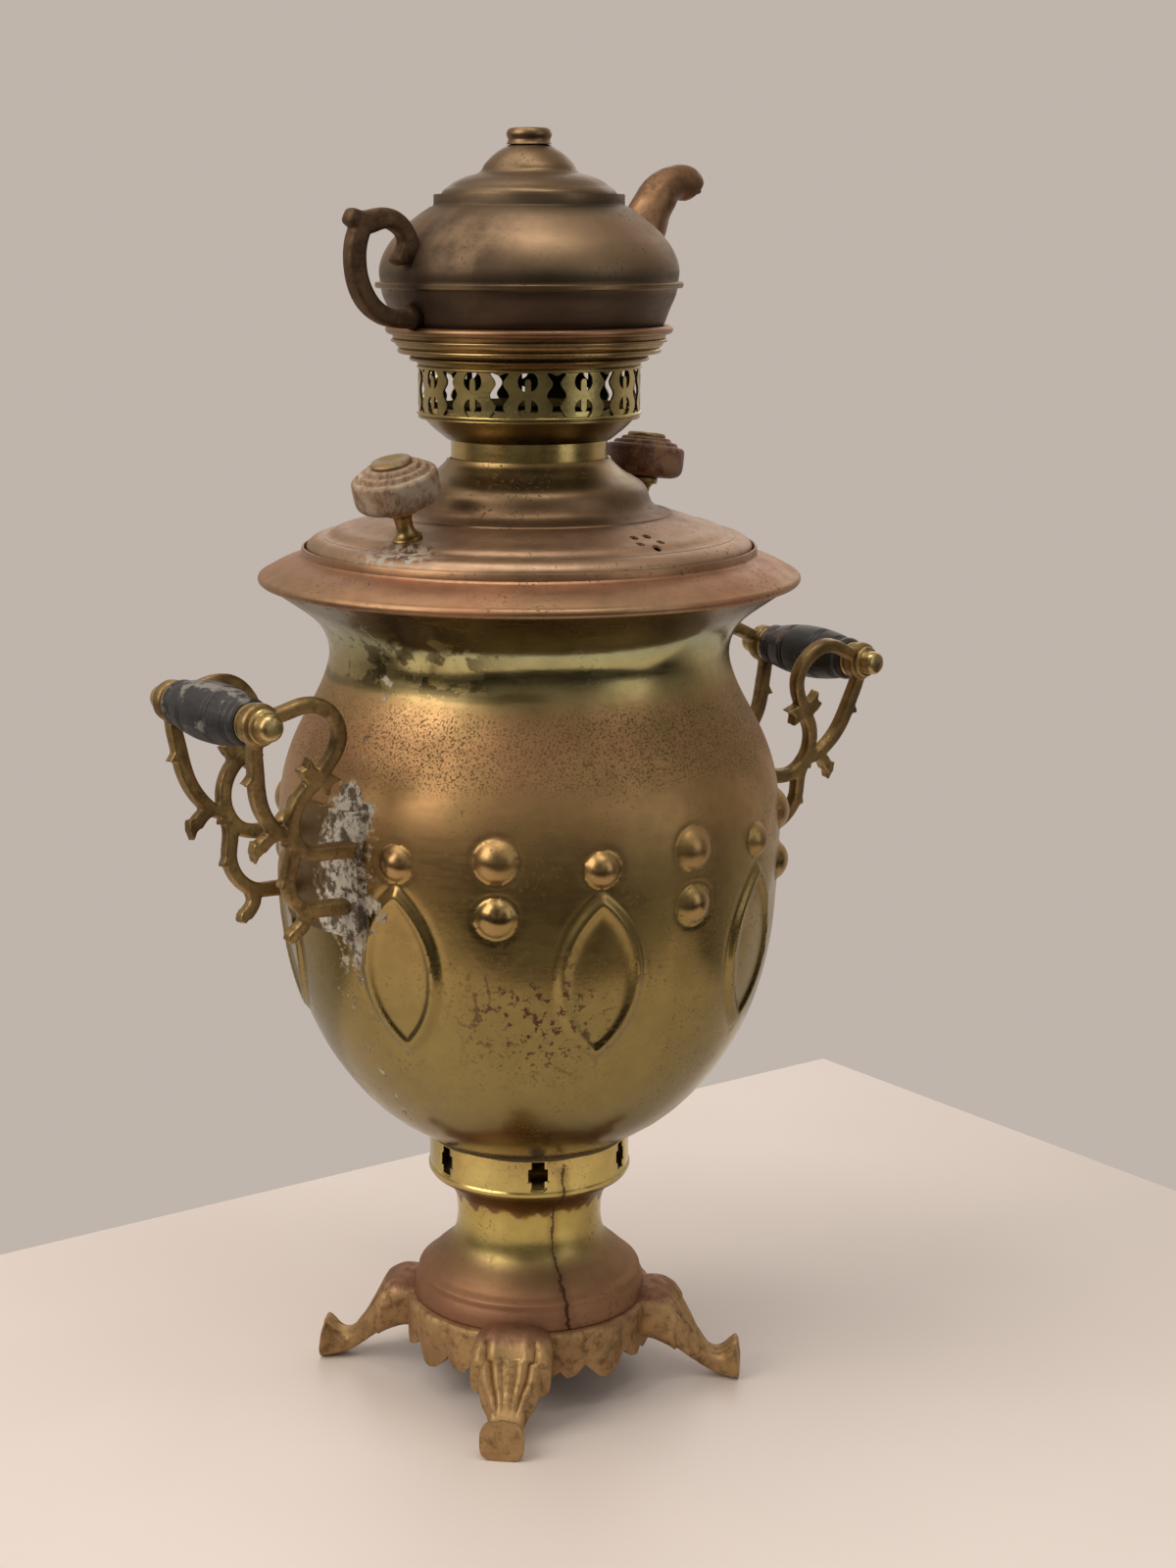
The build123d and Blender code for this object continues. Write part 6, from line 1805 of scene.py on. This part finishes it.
class SAMOVAR_OT_teapot_lid(bpy.types.Operator):
    """Spin the teapot's lid and turn its finial"""

    bl_idname = "samovar.teapot_lid"
    bl_label = "Teapot lid"

    def execute(self, context):
        finish = pot_finish("pot_lid_brass", 2.5)
        outside = joined(
            polyline((38.0, 539.95), (38.0, 541.8)),
            spline(
                [
                    (37.6, 543.0), (36.8, 543.9), (35.0, 545.2), (32.6, 547.0), (29.7, 548.6),
                    (26.6, 549.7), (24.2, 550.3), (22.0, 551.0), (20.8, 551.9),
                ],
                46,
            ),
            spline(
                [
                    (20.3, 552.6), (19.4, 554.4), (18.7, 555.3), (17.2, 556.9), (15.5, 558.5),
                    (13.4, 560.1), (10.9, 561.6), (8.8, 562.6), (7.6, 562.9),
                ],
                46,
            ),
            polyline((3.2, 562.9)),
        )
        wall = sheet_wall(outside)
        skirt = polyline((34.6, 535.9), (35.6, 535.9), (35.6, 544.6), (34.6, 544.6))
        nodes = ["teapot_lid", "teapot_lid_skirt"]
        piece("pot_lid", [lathe(wall), lathe(skirt)], "teapot_lid", nodes, finish)
        knob = joined(
            polyline(
                (0.0, 560.0), (4.4, 560.0), (4.4, 561.6), (3.0, 561.8), (3.0, 562.95), (8.4, 562.95)
            ),
            spline(
                [
                    (9.9, 563.0), (9.3, 564.0), (9.1, 565.0), (9.5, 566.0), (9.8, 567.1),
                    (9.5, 568.4), (8.8, 569.4), (7.8, 569.8),
                ],
                26,
            ),
            spline([(7.0, 569.5), (5.0, 569.1), (0.0, 569.0)], 8),
        )
        shells = [lathe(knob, 72, closed=False)]
        piece("pot_finial", shells, "teapot_lid", ["teapot_finial"], finish)
        return {"FINISHED"}


# ---------------------------------------------------------------- stage
CAMERA_AZIMUTH = 52.0
CAMERA_DISTANCE = 1.10647
CAMERA_HEIGHT = 0.52799
CAMERA_TILT = 12.52
CAMERA_LENS = 57.5
CAMERA_SHIFT = 60.0 / 1600.0


def beside_camera(right, away, up):
    """A point given to the right of the camera's line, away from it past the axis, and up."""
    a = np.radians(CAMERA_AZIMUTH)
    across = np.array([-np.sin(a), np.cos(a), 0.0])
    ahead = np.array([-np.cos(a), -np.sin(a), 0.0])
    return across * right + ahead * away + np.array([0.0, 0.0, up])


# Brightness of the surroundings, from straight down at 0 to straight up at 1.
SKY_LEVELS = ((0.0, 0.03), (0.44, 0.05), (0.5, 0.14), (0.62, 0.26), (0.8, 0.48), (1.0, 0.8))


def room_world(wall):
    """A soft room: brighter above, cluttered at random, and plain wall where the camera looks."""
    world = bpy.data.worlds.new("room")
    world.use_nodes = True
    room = Nodes(world.node_tree, "Generated")
    parts = room.add("ShaderNodeSeparateXYZ")
    room.feed(parts.inputs[0], room.place)
    rise = room.span(parts.outputs[2], -1.0, 1.0, smooth=False)
    sky = room.ramp(rise, [(share, (level, 0.93 * level, 0.86 * level)) for share, level in SKY_LEVELS])
    clutter = room.span(room.noise(2.6, 1.0, 0.5), 0.40, 0.56, 0.25, 1.35, smooth=False)
    dim = room.add("ShaderNodeVectorMath", operation="SCALE")
    room.feed(dim.inputs[0], sky)
    room.feed(dim.inputs["Scale"], clutter)
    ahead = room.vector_math("DOT_PRODUCT", room.place, tuple(beside_camera(0.0, 1.0, 0.0)), output=1)
    lit = room.mix(room.span(ahead, 0.05, 0.45, smooth=False), dim.outputs[0], wall)
    seen = room.add("ShaderNodeLightPath").outputs["Is Camera Ray"]
    room.feed(room.tree.nodes["Background"].inputs[0], room.mix(seen, lit, wall))
    return world


class SAMOVAR_OT_stage(bpy.types.Operator):
    """Set the table top, the lamps, the surroundings and the camera"""

    bl_idname = "samovar.stage"
    bl_label = "Stage"

    def execute(self, context):
        palette = colours()
        corner = np.array([0.1914, 0.4467])
        left_edge, right_edge = np.array([-0.827, -0.562]), np.array([0.599, -0.801])
        spots = [corner, corner + 1.36 * left_edge, np.array([-0.6, -0.62]), corner + 0.95 * right_edge]
        top = [tuple(beside_camera(x, y, 0.0)) for x, y in spots]
        mesh = bpy.data.meshes.new("table_top")
        mesh.from_pydata(top, [], [(3, 2, 1, 0)])
        table = in_scene("table_top", mesh)
        finish = Finish("table_top")
        cloudy = finish.span(finish.noise(2.2, 3.0), 0.3, 0.7)
        tint = finish.mix(cloudy, tuple(palette.floor), (0.73, 0.65, 0.60))
        mesh.materials.append(finish.done(tint, 0.0, 0.42))
        context.scene.world = room_world(palette.wall)

        lamps = (
            ("window", (-1.25, -0.75, 1.25), (1.1, 1.3), 17.0, (1.0, 0.94, 0.86)),
            ("ceiling", (-0.15, -0.2, 1.9), (1.8, 0.5), 11.0, (1.0, 0.96, 0.90)),
            ("fill", (1.35, -0.9, 0.75), (0.7, 1.3), 2.5, (0.96, 0.98, 1.0)),
            ("back", (0.3, 1.3, 0.9), (1.4, 0.8), 3.0, (1.0, 0.96, 0.92)),
        )
        for name, place, (wide, tall), power, tint in lamps:
            light = bpy.data.lights.new(name, "AREA")
            light.shape = "RECTANGLE"
            light.size, light.size_y = wide, tall
            light.energy = power
            light.color = tint
            lamp = in_scene(name, light)
            lamp.location = beside_camera(*place)
            aim = Vector((0.0, 0.0, 0.25)) - lamp.location
            lamp.rotation_euler = aim.to_track_quat("-Z", "Y").to_euler()

        lens = bpy.data.cameras.new("camera")
        lens.sensor_fit = "VERTICAL"
        lens.sensor_height = 36.0
        lens.lens = CAMERA_LENS
        lens.shift_x = CAMERA_SHIFT
        camera = in_scene("camera", lens)
        camera.location = beside_camera(0.0, -CAMERA_DISTANCE, CAMERA_HEIGHT)
        tilt = np.radians(CAMERA_TILT)
        look = Vector(beside_camera(0.0, float(np.cos(tilt)), -float(np.sin(tilt))))
        camera.rotation_euler = look.to_track_quat("-Z", "Y").to_euler()
        context.scene.camera = camera
        context.scene.view_settings.view_transform = "Standard"
        return {"FINISHED"}


# ---------------------------------------------------------------- add-on
OPERATORS = (
    SAMOVAR_OT_stage,
    SAMOVAR_OT_foot,
    SAMOVAR_OT_pedestal,
    SAMOVAR_OT_fire_tube,
    SAMOVAR_OT_vessel,
    SAMOVAR_OT_rim,
    SAMOVAR_OT_handles,
    SAMOVAR_OT_tap,
    SAMOVAR_OT_lid,
    SAMOVAR_OT_lid_knobs,
    SAMOVAR_OT_crown,
    SAMOVAR_OT_teapot,
    SAMOVAR_OT_teapot_castings,
    SAMOVAR_OT_teapot_lid,
)


class SAMOVAR_PT_pieces(bpy.types.Panel):
    """Lists the samovar's pieces, sizes and colours"""

    bl_idname = "SAMOVAR_PT_pieces"
    bl_label = "Samovar"
    bl_space_type = "VIEW_3D"
    bl_region_type = "UI"
    bl_category = "Samovar"

    def draw(self, context):
        layout = self.layout
        for operator in OPERATORS:
            layout.operator(operator.bl_idname)
        for group in (context.scene.samovar_sizes, context.scene.samovar_colours):
            box = layout.box()
            for name in group.__annotations__:
                box.prop(group, name)


CLASSES = (SamovarSizes, SamovarColours, *OPERATORS, SAMOVAR_PT_pieces)


def register():
    for part in CLASSES:
        bpy.utils.register_class(part)
    bpy.types.Scene.samovar_sizes = PointerProperty(type=SamovarSizes)
    bpy.types.Scene.samovar_colours = PointerProperty(type=SamovarColours)


def unregister():
    del bpy.types.Scene.samovar_colours
    del bpy.types.Scene.samovar_sizes
    for part in reversed(CLASSES):
        bpy.utils.unregister_class(part)


def main():
    register()
    for operator in OPERATORS:
        group, name = operator.bl_idname.split(".")
        getattr(getattr(bpy.ops, group), name)()
    bpy.context.view_layer.update()


if __name__ == "__main__":
    main()
